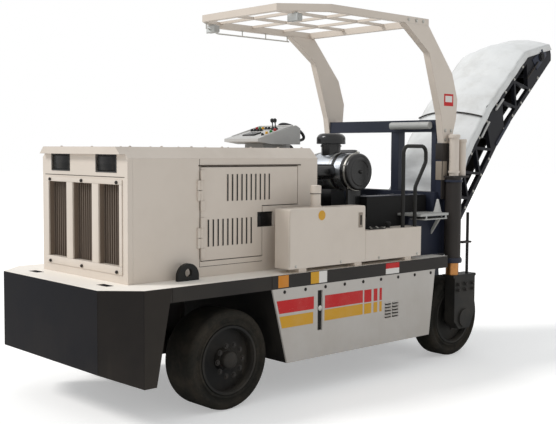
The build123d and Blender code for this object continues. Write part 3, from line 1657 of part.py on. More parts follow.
with BuildPart() as slew_yoke:
    post(SLEW_AFT, 0, YOKE_RING_R, TONGUE_TOP + PULLEY_GAP, YOKE_BASE_Z)
    block(
        SLEW_AFT - YOKE_HALF_LEN,
        SLEW_AFT + YOKE_HALF_LEN,
        -YOKE_OUT,
        YOKE_OUT,
        YOKE_BASE_Z,
        YOKE_BASE_Z + YOKE_BASE_T,
    )
    block(
        SLEW_AFT + YOKE_HALF_LEN - 1,
        LIFT_AFT + EYE_R,
        -LUG_IN - LUG_T,
        LUG_IN + LUG_T,
        YOKE_BASE_Z,
        YOKE_BASE_Z + YOKE_BASE_T,
    )
    for side in (1, -1):
        cheek = sorted((side * YOKE_IN, side * YOKE_OUT))
        side_plate(outline(yoke_side), *cheek)
        pin = sorted((side * (TRUSS_HALF - TRUSS_T), side * YOKE_OUT))
        cross_bar(LUFF_AFT, LUFF_Z, LUFF_PIN_R, *pin)
        lug = sorted((side * LUG_IN, side * (LUG_IN + LUG_T)))
        lug_side = [
            (LIFT_AFT - EYE_R, YOKE_BASE_Z),
            (LIFT_AFT + EYE_R, YOKE_BASE_Z),
            (LIFT_AFT + EYE_R * 0.7, LIFT_Z + EYE_R * 0.8),
            (LIFT_AFT - EYE_R * 0.7, LIFT_Z + EYE_R * 0.8),
        ]
        side_plate(outline(lug_side), *lug)
    with BuildSketch(Plane.XY.offset(YOKE_TOP)):
        Polygon(
            (aft(SLEW_AFT - BRIDGE_HALF_LEN), -BRIDGE_HALF_NOSE),
            (aft(SLEW_AFT - BRIDGE_HALF_LEN), BRIDGE_HALF_NOSE),
            (aft(SLEW_AFT - YOKE_UPPER_FRONT), YOKE_OUT),
            (aft(SLEW_AFT + YOKE_UPPER_REAR), YOKE_OUT),
            (aft(SLEW_AFT + YOKE_UPPER_REAR), -YOKE_OUT),
            (aft(SLEW_AFT - YOKE_UPPER_FRONT), -YOKE_OUT),
            align=None,
        )
    extrude(amount=BRIDGE_T)
    post(SLEW_AFT, 0, SLEW_PIN_R, YOKE_TOP, CROSS_LOW - 2)
    cross_bar(LIFT_AFT, LIFT_Z, EYE_PIN_R, -LUG_IN - 1, LUG_IN + 1)
save(slew_yoke, "slew_yoke")

# Lift cylinder between the yoke's tail and the truss
LIFT_DAFT = LIFT_EYE[0] - LIFT_AFT
LIFT_DZ = LIFT_EYE[1] - LIFT_Z
LIFT_LEN = hypot(LIFT_DAFT, LIFT_DZ)
LIFT_ANGLE = degrees(atan2(LIFT_DZ, LIFT_DAFT))


def lift_plane(distance):
    """Plane across the lift cylinder this far from its lower eye."""
    step_aft = distance * cos(radians(LIFT_ANGLE))
    step_up = distance * sin(radians(LIFT_ANGLE))
    return Plane(
        origin=(aft(LIFT_AFT + step_aft), 0, LIFT_Z + step_up),
        x_dir=(0, 1, 0),
        z_dir=(-cos(radians(LIFT_ANGLE)), 0, sin(radians(LIFT_ANGLE))),
    )


EYE_HALF = LUG_IN - 3
with BuildPart() as lift_barrel:
    with BuildSketch(lift_plane(0)):
        Rectangle(2 * EYE_HALF, EYE_R)
    extrude(amount=BARREL_BASE)
    cross_bar(LIFT_AFT, LIFT_Z, EYE_R - 6, -EYE_HALF, EYE_HALF)
    with BuildSketch(lift_plane(BARREL_BASE - 1)):
        Circle(BARREL_R)
    extrude(amount=BARREL_LEN - BARREL_BASE + 1)
    with BuildSketch(lift_plane(BARREL_BASE + 20)):
        Circle(ROD_R + ROD_PLAY)
    extrude(amount=BARREL_LEN, mode=Mode.SUBTRACT)
    cross_bar(
        LIFT_AFT,
        LIFT_Z,
        EYE_PIN_R + PIN_PLAY,
        -EYE_HALF,
        EYE_HALF,
        mode=Mode.SUBTRACT,
    )
save(lift_barrel, "lift_barrel")

ROD_START = 200
with BuildPart() as lift_rod:
    with BuildSketch(lift_plane(ROD_START)):
        Circle(ROD_R)
    extrude(amount=LIFT_LEN - ROD_START)
    cross_bar(*LIFT_EYE, EYE_R - 6, -EYE_HALF, EYE_HALF)
    cross_bar(
        *LIFT_EYE,
        EYE_PIN_R + EYE_PLAY,
        -EYE_HALF,
        EYE_HALF,
        mode=Mode.SUBTRACT,
    )
save(lift_rod, "lift_rod")
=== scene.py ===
"""Looks of a wheeled cold planer milling machine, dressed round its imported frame."""

from __future__ import annotations

import json
import logging
import math
from dataclasses import dataclass
from enum import Enum
from functools import partial
from typing import Iterable, Sequence, Union

import bmesh
import bpy
from mathutils import Matrix, Vector, noise

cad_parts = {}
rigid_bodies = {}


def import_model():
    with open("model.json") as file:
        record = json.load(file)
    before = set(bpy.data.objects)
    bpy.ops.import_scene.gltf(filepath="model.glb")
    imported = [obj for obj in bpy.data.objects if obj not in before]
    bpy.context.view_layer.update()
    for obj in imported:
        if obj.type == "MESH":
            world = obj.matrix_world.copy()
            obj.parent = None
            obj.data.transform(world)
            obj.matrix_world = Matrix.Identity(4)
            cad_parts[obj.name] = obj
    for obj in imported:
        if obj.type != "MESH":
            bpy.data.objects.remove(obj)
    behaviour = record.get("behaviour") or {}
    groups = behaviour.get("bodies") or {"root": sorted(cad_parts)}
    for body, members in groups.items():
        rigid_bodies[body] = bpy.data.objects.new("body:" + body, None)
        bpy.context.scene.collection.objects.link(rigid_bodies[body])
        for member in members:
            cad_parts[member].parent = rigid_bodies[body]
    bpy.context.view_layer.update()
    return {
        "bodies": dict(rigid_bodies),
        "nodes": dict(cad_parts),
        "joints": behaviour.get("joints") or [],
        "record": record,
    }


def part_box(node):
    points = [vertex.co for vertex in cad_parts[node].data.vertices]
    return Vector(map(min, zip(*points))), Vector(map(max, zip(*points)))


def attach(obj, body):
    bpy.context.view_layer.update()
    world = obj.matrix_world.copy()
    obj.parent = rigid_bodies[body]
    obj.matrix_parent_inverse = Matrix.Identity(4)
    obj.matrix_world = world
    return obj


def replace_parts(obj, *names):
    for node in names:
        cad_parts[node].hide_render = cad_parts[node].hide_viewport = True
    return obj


LOG = logging.getLogger("planer")
Colour = tuple[float, float, float]
Point = Union[Vector, Sequence[float]]
Span = tuple[float, float]
Profile = tuple[Span, ...]
Box = tuple[float, float, float, float, float, float]
MM = 0.001
SMOOTH = 0.6
BOLT_SEED = 7
UP = Vector((0, 0, 1))
FORWARD = Vector((1, 0, 0))
LEFTWARD = Vector((0, 1, 0))


class Side(Enum):
    """The machine's two sides, as the sign of Y."""

    LEFT = 1
    RIGHT = -1

    @property
    def word(self) -> str:
        """Name of the side in lower case."""
        return self.name.lower()

    @property
    def out(self) -> Vector:
        """Direction away from the machine's middle on this side."""
        return LEFTWARD * self.value


def srgb(red: int, green: int, blue: int) -> Colour:
    """Linear colour of an eight bit screen colour.

    Args:
        red: Red level from 0 to 255.
        green: Green level from 0 to 255.
        blue: Blue level from 0 to 255.

    Returns:
        The colour in linear light.
    """
    levels = [level / 255 for level in (red, green, blue)]
    return tuple(
        level / 12.92 if level <= 0.04045 else ((level + 0.055) / 1.055) ** 2.4
        for level in levels
    )


class Value:
    """A shader value that takes part in plain arithmetic."""

    def __init__(self, graph: "Graph", socket: bpy.types.NodeSocket) -> None:
        """Wraps one output socket of a material's nodes."""
        self.graph = graph
        self.socket = socket

    def _math(self, operation: str, first: object, second: object = 0.0) -> "Value":
        """Adds one Math node and wraps its result."""
        node = self.graph.node("ShaderNodeMath", {"operation": operation}, {0: first, 1: second})
        return Value(self.graph, node.outputs[0])

    def __add__(self, other: object) -> "Value":
        """Sum."""
        return self._math("ADD", self, other)

    __radd__ = __add__

    def __sub__(self, other: object) -> "Value":
        """Difference."""
        return self._math("SUBTRACT", self, other)

    def __rsub__(self, other: object) -> "Value":
        """Difference from a number."""
        return self._math("SUBTRACT", other, self)

    def __mul__(self, other: object) -> "Value":
        """Product."""
        return self._math("MULTIPLY", self, other)

    __rmul__ = __mul__

    def wave(self) -> "Value":
        """Sine of the value."""
        return self._math("SINE", self)

    def size(self) -> "Value":
        """Absolute amount."""
        return self._math("ABSOLUTE", self)

    def least(self, other: object) -> "Value":
        """The smaller of two values."""
        return self._math("MINIMUM", self, other)

    def most(self, other: object) -> "Value":
        """The larger of two values."""
        return self._math("MAXIMUM", self, other)

    def ramp(self, low: float, high: float) -> "Value":
        """Rises smoothly from 0 at low to 1 at high.

        Args:
            low: Value that gives 0.
            high: Value that gives 1.

        Returns:
            The eased share between the two.
        """
        node = self.graph.node(
            "ShaderNodeMapRange",
            {"interpolation_type": "SMOOTHSTEP"},
            {"Value": self, "From Min": low, "From Max": high},
        )
        return Value(self.graph, node.outputs[0])


class Nodes:
    """A node tree and the one way in which nodes are added to it."""

    def __init__(self, tree: bpy.types.NodeTree) -> None:
        """Takes the tree."""
        self.tree = tree

    def node(
        self,
        kind: str,
        settings: dict[str, object] | None = None,
        inputs: dict[object, object] | None = None,
    ) -> bpy.types.Node:
        """Adds one node.

        Args:
            kind: The node's type.
            settings: Attributes that are set before the sockets.
            inputs: Values, sockets or wrapped values by socket name or number.

        Returns:
            The new node.
        """
        made = self.tree.nodes.new(kind)
        for key, setting in (settings or {}).items():
            setattr(made, key, setting)
        for key, given in (inputs or {}).items():
            target = made.inputs[key]
            if isinstance(given, Value):
                given = given.socket
            if isinstance(given, bpy.types.NodeSocket):
                self.tree.links.new(given, target)
            elif target.type == "RGBA":
                target.default_value = (*given, 1.0)
            else:
                target.default_value = given
        return made


class Graph(Nodes):
    """The nodes of one material, built by expressions."""

    def __init__(self, name: str) -> None:
        """Makes an empty material of that name."""
        self.material = bpy.data.materials.new(name)
        self.material.use_nodes = True
        super().__init__(self.material.node_tree)
        self.tree.nodes.clear()
        self.place = self.node("ShaderNodeTexCoord").outputs["Object"]

    def stretched(self, scale: Colour) -> bpy.types.NodeSocket:
        """Object coordinates with a scale for each axis."""
        inputs = {"Vector": self.place, "Scale": scale}
        return self.node("ShaderNodeMapping", None, inputs).outputs[0]

    def noise(
        self,
        scale: float,
        detail: float = 3.0,
        roughness: float = 0.55,
        stretch: Colour | None = None,
    ) -> Value:
        """Noise over the object's own coordinates.

        Args:
            scale: Features per metre.
            detail: Octaves.
            roughness: Weight of the finer octaves.
            stretch: Scale of each axis, where it isn't even.

        Returns:
            The noise, around 0.5.
        """
        vector = self.place if stretch is None else self.stretched(stretch)
        made = self.node(
            "ShaderNodeTexNoise",
            None,
            {"Vector": vector, "Scale": scale, "Detail": detail, "Roughness": roughness},
        )
        return Value(self, made.outputs[0])

    def axis(self, letter: str) -> Value:
        """One of the object coordinates X, Y or Z in metres."""
        split = self.node("ShaderNodeSeparateXYZ", None, {0: self.place})
        return Value(self, split.outputs[letter])

    def facing(self, letter: str) -> Value:
        """How far the surface faces along X, Y or Z, from -1 to 1."""
        normal = self.node("ShaderNodeNewGeometry").outputs["Normal"]
        split = self.node("ShaderNodeSeparateXYZ", None, {0: normal})
        return Value(self, split.outputs[letter])

    def edges(self, radius: float) -> tuple[Value, bpy.types.NodeSocket]:
        """Finds outer edges and rounds them in the light.

        Args:
            radius: Radius of the rounding in metres.

        Returns:
            A mask that is high at edges, and the rounded normal.
        """
        bevel = self.node("ShaderNodeBevel", {"samples": 3}, {"Radius": radius})
        flat = self.node("ShaderNodeNewGeometry").outputs["Normal"]
        dot = self.node(
            "ShaderNodeVectorMath", {"operation": "DOT_PRODUCT"}, {0: bevel.outputs[0], 1: flat}
        )
        mask = (1.0 - Value(self, dot.outputs["Value"])).ramp(0.02, 0.2)
        return mask, bevel.outputs[0]

    def mix(self, share: object, first: object, second: object) -> bpy.types.NodeSocket:
        """Blends two colours.

        Args:
            share: Share of the second colour.
            first: Colour or colour socket.
            second: Colour or colour socket.

        Returns:
            The colour socket of the blend.
        """
        inputs = {0: share, 6: first, 7: second}
        return self.node("ShaderNodeMix", {"data_type": "RGBA"}, inputs).outputs[2]

    def bump(
        self,
        height: Value,
        strength: float,
        distance: float,
        normal: bpy.types.NodeSocket | None = None,
    ) -> bpy.types.NodeSocket:
        """Normal disturbed by a height.

        Args:
            height: The height pattern.
            strength: Strength from 0 to 1.
            distance: Depth of the pattern in metres.
            normal: Normal to start from.

        Returns:
            The new normal.
        """
        inputs = {"Height": height, "Strength": strength, "Distance": distance}
        if normal is not None:
            inputs["Normal"] = normal
        return self.node("ShaderNodeBump", None, inputs).outputs[0]

    def finish(self, sockets: dict[str, object]) -> bpy.types.Material:
        """Ends the material in a Principled shader.

        Args:
            sockets: Values or links for the shader's sockets by name.

        Returns:
            The finished material.
        """
        shader = self.node("ShaderNodeBsdfPrincipled", None, dict(sockets))
        self.node("ShaderNodeOutputMaterial", None, {"Surface": shader.outputs[0]})
        return self.material


DUST = srgb(168, 155, 136)
STEEL = srgb(150, 148, 144)


@dataclass(frozen=True)
class Paint:
    """Sprayed machine paint with road dust, grime streaks and worn edges; upward faces can take a
    pale colour as painted sunlight.
    """

    name: str
    colour: Colour
    roughness: float = 0.42
    dust: float = 0.18
    wear: float = 0.25
    bare: Colour = STEEL
    shade: float = 0.1
    # Pale colour of upward faces: painted sunlight on the part's top.
    top: Colour | None = None
    peel: float = 0.12
    specular: float = 0.4
    coat: float = 0.12
    side_dust: float = 0.0
    outer: Colour | None = None
    outer_from: float = 0.713

    def build(self) -> bpy.types.Material:
        """Makes the material."""
        graph = Graph(self.name)
        edge, rounded = graph.edges(0.004)
        cloud = graph.noise(2.3, 5.0, 0.6)
        speck = graph.noise(85.0, 4.0, 0.7)
        streak = graph.noise(1.0, 4.0, 0.6, (14.0, 14.0, 1.4))
        dark = (self.colour[0] * 0.62, self.colour[1] * 0.58, self.colour[2] * 0.53)
        base = graph.mix((cloud.ramp(0.35, 0.8)) * self.shade, self.colour, dark)
        if self.outer is not None:
            beyond = graph.axis("Y").size().ramp(self.outer_from, self.outer_from + 0.002)
            base = graph.mix(beyond, base, self.outer)
        if self.top is not None:
            # Painted sunlight: upward faces blend into the pale top colour.
            base = graph.mix(graph.facing("Z").ramp(0.7, 0.95), base, self.top)
        low = graph.axis("Z").ramp(1.1, 0.15)
        settled = graph.facing("Z").ramp(0.3, 0.95) * 0.6
        dirty = (low * 0.8 + settled + 0.15) * cloud.ramp(0.3, 0.7) * self.dust
        dirty = dirty + streak.ramp(0.56, 0.8) * low * self.dust * 0.7
        if self.side_dust > 0:
            dirty = dirty + graph.facing("Y").size().ramp(0.5, 0.9) * self.side_dust
        base = graph.mix(dirty.least(0.85), base, DUST)
        worn = edge * speck.ramp(0.5, 0.62) * self.wear
        chips = speck.ramp(0.72, 0.76) * cloud.ramp(0.5, 0.75) * self.wear * 0.6
        worn = worn.most(chips).least(0.9)
        base = graph.mix(worn, base, self.bare)
        rough = dirty * 0.4 + self.roughness + (cloud - 0.5) * 0.12
        peel = graph.bump(graph.noise(160.0, 2.0), self.peel, 0.0006, rounded)
        return graph.finish(
            {
                "Base Color": base,
                "Roughness": rough.least(0.95),
                "Normal": peel,
                "Specular IOR Level": self.specular,
                "Coat Weight": self.coat,
                "Coat Roughness": 0.25,
            }
        )


@dataclass(frozen=True)
class Rubber:
    """Tyre and belt rubber, greyed by dust."""

    name: str
    colour: Colour
    dust: float = 0.3
    grain: float = 300.0
    roughness: float = 0.82
    specular: float = 0.2

    def build(self) -> bpy.types.Material:
        """Makes the material."""
        graph = Graph(self.name)
        cloud = graph.noise(6.0, 5.0, 0.65)
        scuff = graph.noise(40.0, 4.0, 0.7, (1.0, 4.0, 1.0))
        dirty = (cloud.ramp(0.38, 0.72) * 0.7 + scuff.ramp(0.5, 0.75) * 0.5) * self.dust
        base = graph.mix(dirty.least(0.9), self.colour, srgb(122, 108, 92))
        grit = graph.noise(self.grain, 3.0, 0.6)
        height = grit * 0.5 + scuff * 0.5
        rough = dirty * 0.2 + self.roughness
        return graph.finish(
            {
                "Base Color": base,
                "Roughness": rough.least(0.98),
                "Normal": graph.bump(height, 0.35, 0.0012),
                "Specular IOR Level": self.specular,
            }
        )


@dataclass(frozen=True)
class Metal:
    """Bare, cast or polished metal with stains and fine marks."""

    name: str
    colour: Colour
    roughness: float
    stain: Colour = srgb(74, 58, 44)
    stained: float = 0.3
    marks: float = 0.2
    metallic: float = 1.0
    brushed: Colour | None = None

    def build(self) -> bpy.types.Material:
        """Makes the material."""
        graph = Graph(self.name)
        edge, rounded = graph.edges(0.002)
        cloud = graph.noise(9.0, 5.0, 0.65)
        marks = graph.noise(60.0, 3.0, 0.6, self.brushed or (1.0, 1.0, 1.0))
        rust = cloud.ramp(0.45, 0.72) * self.stained
        base = graph.mix(rust, self.colour, self.stain)
        base = graph.mix(edge * 0.3, base, self.colour)
        rough = rust * 0.35 + marks * 0.12 + self.roughness
        return graph.finish(
            {
                "Base Color": base,
                "Roughness": rough.least(0.95),
                "Metallic": (1.0 - rust * 0.8) * self.metallic,
                "Normal": graph.bump(marks, self.marks, 0.0006, rounded),
            }
        )


@dataclass(frozen=True)
class Plastic:
    """Moulded plastic with a fine grain."""

    name: str
    colour: Colour
    roughness: float = 0.5
    grain: float = 420.0

    def build(self) -> bpy.types.Material:
        """Makes the material."""
        graph = Graph(self.name)
        edge, rounded = graph.edges(0.0015)
        cloud = graph.noise(7.0, 4.0)
        # Edges are made paler as a painted highlight; pale clouds vary the tone at random.
        pale = tuple(min(1.0, level * 1.35 + 0.01) for level in self.colour)
        base = graph.mix(edge * 0.35 + cloud.ramp(0.5, 0.8) * 0.15, self.colour, pale)
        rough = cloud * 0.15 + self.roughness
        grain = graph.bump(graph.noise(self.grain, 2.0), 0.18, 0.0005, rounded)
        return graph.finish({"Base Color": base, "Roughness": rough, "Normal": grain})


@dataclass(frozen=True)
class Film:
    """Printed or cut vinyl film: stripes and blank stickers; its near-black sheets are painted
    shade in slots and recesses.
    """

    name: str
    colour: Colour
    fade: float = 0.08

    def build(self) -> bpy.types.Material:
        """Makes the material."""
        graph = Graph(self.name)
        cloud = graph.noise(5.0, 4.0, 0.6)
        scratch = graph.noise(30.0, 4.0, 0.75, (1.0, 1.0, 6.0))
        faded = cloud.ramp(0.4, 0.75) * self.fade + scratch.ramp(0.66, 0.7) * 0.5
        base = graph.mix(faded.least(0.7), self.colour, srgb(206, 196, 182))
        rough = cloud * 0.2 + 0.42
        return graph.finish({"Base Color": base, "Roughness": rough, "Specular IOR Level": 0.25})


@dataclass(frozen=True)
class Weave:
    """Coated woven cloth: a fine crossing weave, soft creases and patchy dirt."""

    name: str
    colour: Colour
    thread: float = 0.004
    grime: float = 0.35
    roughness: float = 0.62

    def build(self) -> bpy.types.Material:
        """Makes the material."""
        graph = Graph(self.name)
        turn = math.tau / self.thread
        along = (graph.axis("X") * turn).wave()
        across = (graph.axis("Y") * turn).wave()
        weave = along * across
        cloud = graph.noise(3.2, 5.0, 0.65)
        stain = graph.noise(11.0, 4.0, 0.7)
        dirty = (cloud.ramp(0.42, 0.75) * 0.7 + stain.ramp(0.55, 0.8) * 0.5) * self.grime
        base = graph.mix(dirty.least(0.7), self.colour, srgb(150, 142, 128))
        crease = graph.noise(9.0, 4.0, 0.55)
        soft = graph.bump(crease, 0.5, 0.012)
        return graph.finish(
            {
                "Base Color": base,
                "Roughness": dirty * 0.2 + self.roughness,
                "Normal": graph.bump(weave, 0.3, 0.0006, soft),
                "Sheen Weight": 0.15,
            }
        )


@dataclass(frozen=True)
class Vinyl:
    """Seat vinyl with leather grain."""

    name: str
    colour: Colour
    pores: float = 260.0

    def build(self) -> bpy.types.Material:
        """Makes the material."""
        graph = Graph(self.name)
        inputs = {"Vector": graph.place, "Scale": self.pores}
        cells = graph.node("ShaderNodeTexVoronoi", {"feature": "DISTANCE_TO_EDGE"}, inputs)
        grain = Value(graph, cells.outputs["Distance"])
        cloud = graph.noise(8.0, 4.0)
        pale = tuple(min(1.0, level * 2.2 + 0.02) for level in self.colour)
        base = graph.mix(cloud.ramp(0.45, 0.8) * 0.4, self.colour, pale)
        return graph.finish(
            {
                "Base Color": base,
                "Roughness": cloud * 0.2 + 0.42,
                "Normal": graph.bump(grain, 0.4, 0.0008),
            }
        )


@dataclass(frozen=True)
class Lens:
    """Dark or clear lamp glass over a reflector, with a moulded flute."""

    name: str
    colour: Colour
    flutes: float = 90.0

    def build(self) -> bpy.types.Material:
        """Makes the material."""
        graph = Graph(self.name)
        ripple = (graph.axis("Y") * (self.flutes * math.tau)).wave()
        cloud = graph.noise(14.0, 3.0)
        base = graph.mix(cloud.ramp(0.4, 0.8) * 0.04, self.colour, DUST)
        return graph.finish(
            {
                "Base Color": base,
                "Roughness": cloud * 0.1 + 0.08,
                "Normal": graph.bump(ripple, 0.25, 0.001),
                "Specular IOR Level": 0.12,
            }
        )


@dataclass(frozen=True)
class Fins:
    """Radiator core: fine upright fins, dulled by dust and oil."""

    name: str
    colour: Colour
    fin_pitch: float = 0.009
    tube_pitch: float = 0.03

    def build(self) -> bpy.types.Material:
        """Makes the material."""
        graph = Graph(self.name)
        fin = (graph.axis("Y") * (math.tau / self.fin_pitch)).wave()
        tube = (graph.axis("Z") * (math.tau / self.tube_pitch)).wave()
        cloud = graph.noise(4.0, 4.0, 0.6)
        shade = fin.ramp(-0.6, 0.6) * 0.6 + tube.ramp(0.5, 0.9) * 0.3
        base = graph.mix(shade, self.colour, srgb(30, 26, 24))
        base = graph.mix(cloud.ramp(0.45, 0.7) * 0.55, base, srgb(128, 104, 84))
        height = fin * 0.6 + tube * 0.4
        return graph.finish(
            {
                "Base Color": base,
                "Roughness": 0.6,
                "Metallic": 0.4,
                "Normal": graph.bump(height, 0.6, 0.002),
            }
        )


CREAM = srgb(217, 205, 192)
# Near-white painted sunlight on the upward faces of the dark ballast box and main frame.
PAINTED_SUNLIT_TOP = srgb(252, 245, 235)


class Finishes:
    """Every finish of the machine, made once and kept by name."""

    def __init__(self) -> None:
        """Builds all the materials."""
        dark = partial(Paint, roughness=0.5, dust=0.1, wear=0.15, specular=0.2, coat=0.0)
        frame, worn_frame = srgb(42, 39, 37), srgb(84, 78, 72)
        makers = (
            Paint("cream_paint", CREAM, 0.42, 0.14, 0.16, shade=0.16),
            # Greyer, darker copy of the cream paint for the skirts and their vent lips: painted
            # shade under the overhang, with more dust.
            Paint("skirt_cream", srgb(196, 190, 183), 0.45, 0.2, 0.16, shade=0.16),
            dark(
                "ballast_paint",
                srgb(18, 18, 23),
                dust=0.03,
                wear=0.05,
                bare=srgb(60, 57, 54),
                top=PAINTED_SUNLIT_TOP,
                specular=0.08,
                side_dust=0.07,
            ),
            dark("frame_paint", frame, dust=0.12, bare=worn_frame),
            dark("deck_paint", frame, bare=worn_frame, top=PAINTED_SUNLIT_TOP),
            dark(
                "navy_paint",
                srgb(38, 43, 58),
                roughness=0.45,
                wear=0.2,
                bare=srgb(104, 102, 102),
                specular=0.25,
            ),
            dark("truss_paint", srgb(24, 25, 31), dust=0.08, bare=srgb(84, 82, 82)),
            dark("black_paint", srgb(22, 22, 23), dust=0.08, bare=srgb(84, 80, 76), specular=0.16),
            dark("rear_paint", srgb(36, 41, 56), bare=srgb(90, 86, 82), outer=srgb(50, 46, 44)),
            Paint("grey_paint", srgb(176, 176, 172), 0.45, 0.2, 0.3),
            dark("grille_paint", srgb(112, 99, 88), roughness=0.6, dust=0.3, wear=0.2),
            dark("rim_paint", srgb(25, 25, 25), roughness=0.55, bare=srgb(66, 62, 56)),
            dark("fork_paint", srgb(34, 34, 33), bare=srgb(72, 68, 64)),
            dark("sleeve_paint", srgb(48, 44, 42), dust=0.12, bare=srgb(90, 84, 78)),
            Paint("cleaner_paint", srgb(20, 20, 21), 0.2, 0.05, 0.1, srgb(80, 78, 76)),
            Rubber("solid_rubber", srgb(28, 27, 23), 0.18),
            Rubber("belt_rubber", srgb(24, 24, 24), 0.2),
            Metal("column_steel", srgb(196, 138, 82), 0.24, srgb(96, 56, 26), 0.4, 0.1, 0.85),
            Metal("rod_chrome", srgb(212, 212, 214), 0.12, srgb(120, 112, 104), 0.1, 0.05),
            Metal("machined_steel", srgb(158, 156, 152), 0.35, brushed=(6.0, 1.0, 6.0)),
            Metal("drum_steel", srgb(112, 104, 96), 0.55, srgb(92, 62, 40), 0.6, 0.6, 0.8),
            Metal("engine_iron", srgb(60, 60, 60), 0.6, srgb(50, 42, 34), 0.5, 0.5, 0.6),
            Metal("dark_steel", srgb(52, 50, 48), 0.5, srgb(66, 48, 36), 0.4, 0.3, 0.7),
            Metal("bright_zinc", srgb(188, 186, 180), 0.34, srgb(130, 116, 92), 0.25, 0.2),
            Metal("drum_gloss", srgb(196, 200, 206), 0.22, srgb(70, 68, 66), 0.15, 0.05),
            Plastic("black_plastic", srgb(24, 24, 25), 0.6),
            Plastic("grey_plastic", srgb(190, 188, 184), 0.45),
            Plastic("tan_plastic", srgb(146, 134, 120), 0.5),
            Plastic("red_plastic", srgb(168, 26, 26), 0.35),
            Plastic("green_plastic", srgb(40, 120, 60), 0.35),
            Plastic("yellow_plastic", srgb(214, 160, 30), 0.35),
            Film("red_film", srgb(196, 34, 36)),
            Film("yellow_film", srgb(212, 158, 42)),
            Film("orange_film", srgb(206, 132, 44)),
            Film("white_film", srgb(226, 222, 216), 0.1),
            Film("seam_film", srgb(72, 62, 52), 0.05),
            # Near-black film for the flat sheets of painted shade in slots and recesses.
            Film("dark_film", srgb(16, 15, 15), 0.05),
            Film("liner_film", srgb(128, 112, 98), 0.05),
            Weave("tarpaulin", srgb(226, 226, 224)),
            Vinyl("seat_vinyl", srgb(30, 30, 32)),
            Lens("lamp_glass", srgb(8, 8, 9)),
            Lens("clear_lens", srgb(206, 208, 206)),
            Fins("radiator_fins", srgb(128, 116, 104)),
        )
        self.made = {maker.name: maker.build() for maker in makers}

    def __getitem__(self, name: str) -> bpy.types.Material:
        """The material of that name."""
        return self.made[name]


def settle(
    name: str, data: bpy.types.Mesh, body: str, smooth: float = SMOOTH
) -> bpy.types.Object:
    """Makes a mesh a piece that rides on a body.

    Args:
        name: Name of the piece.
        data: Its mesh.
        body: The body that it moves with.
        smooth: Largest angle, in radians, that is shaded smooth.

    Returns:
        The new object.
    """
    for polygon in data.polygons:
        polygon.use_smooth = True
    data.set_sharp_from_angle(angle=smooth)
    made = bpy.data.objects.new(name, data)
    bpy.context.scene.collection.objects.link(made)
    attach(made, body)
    LOG.info("piece %s on %s, %d faces", name, body, len(data.polygons))
    return made


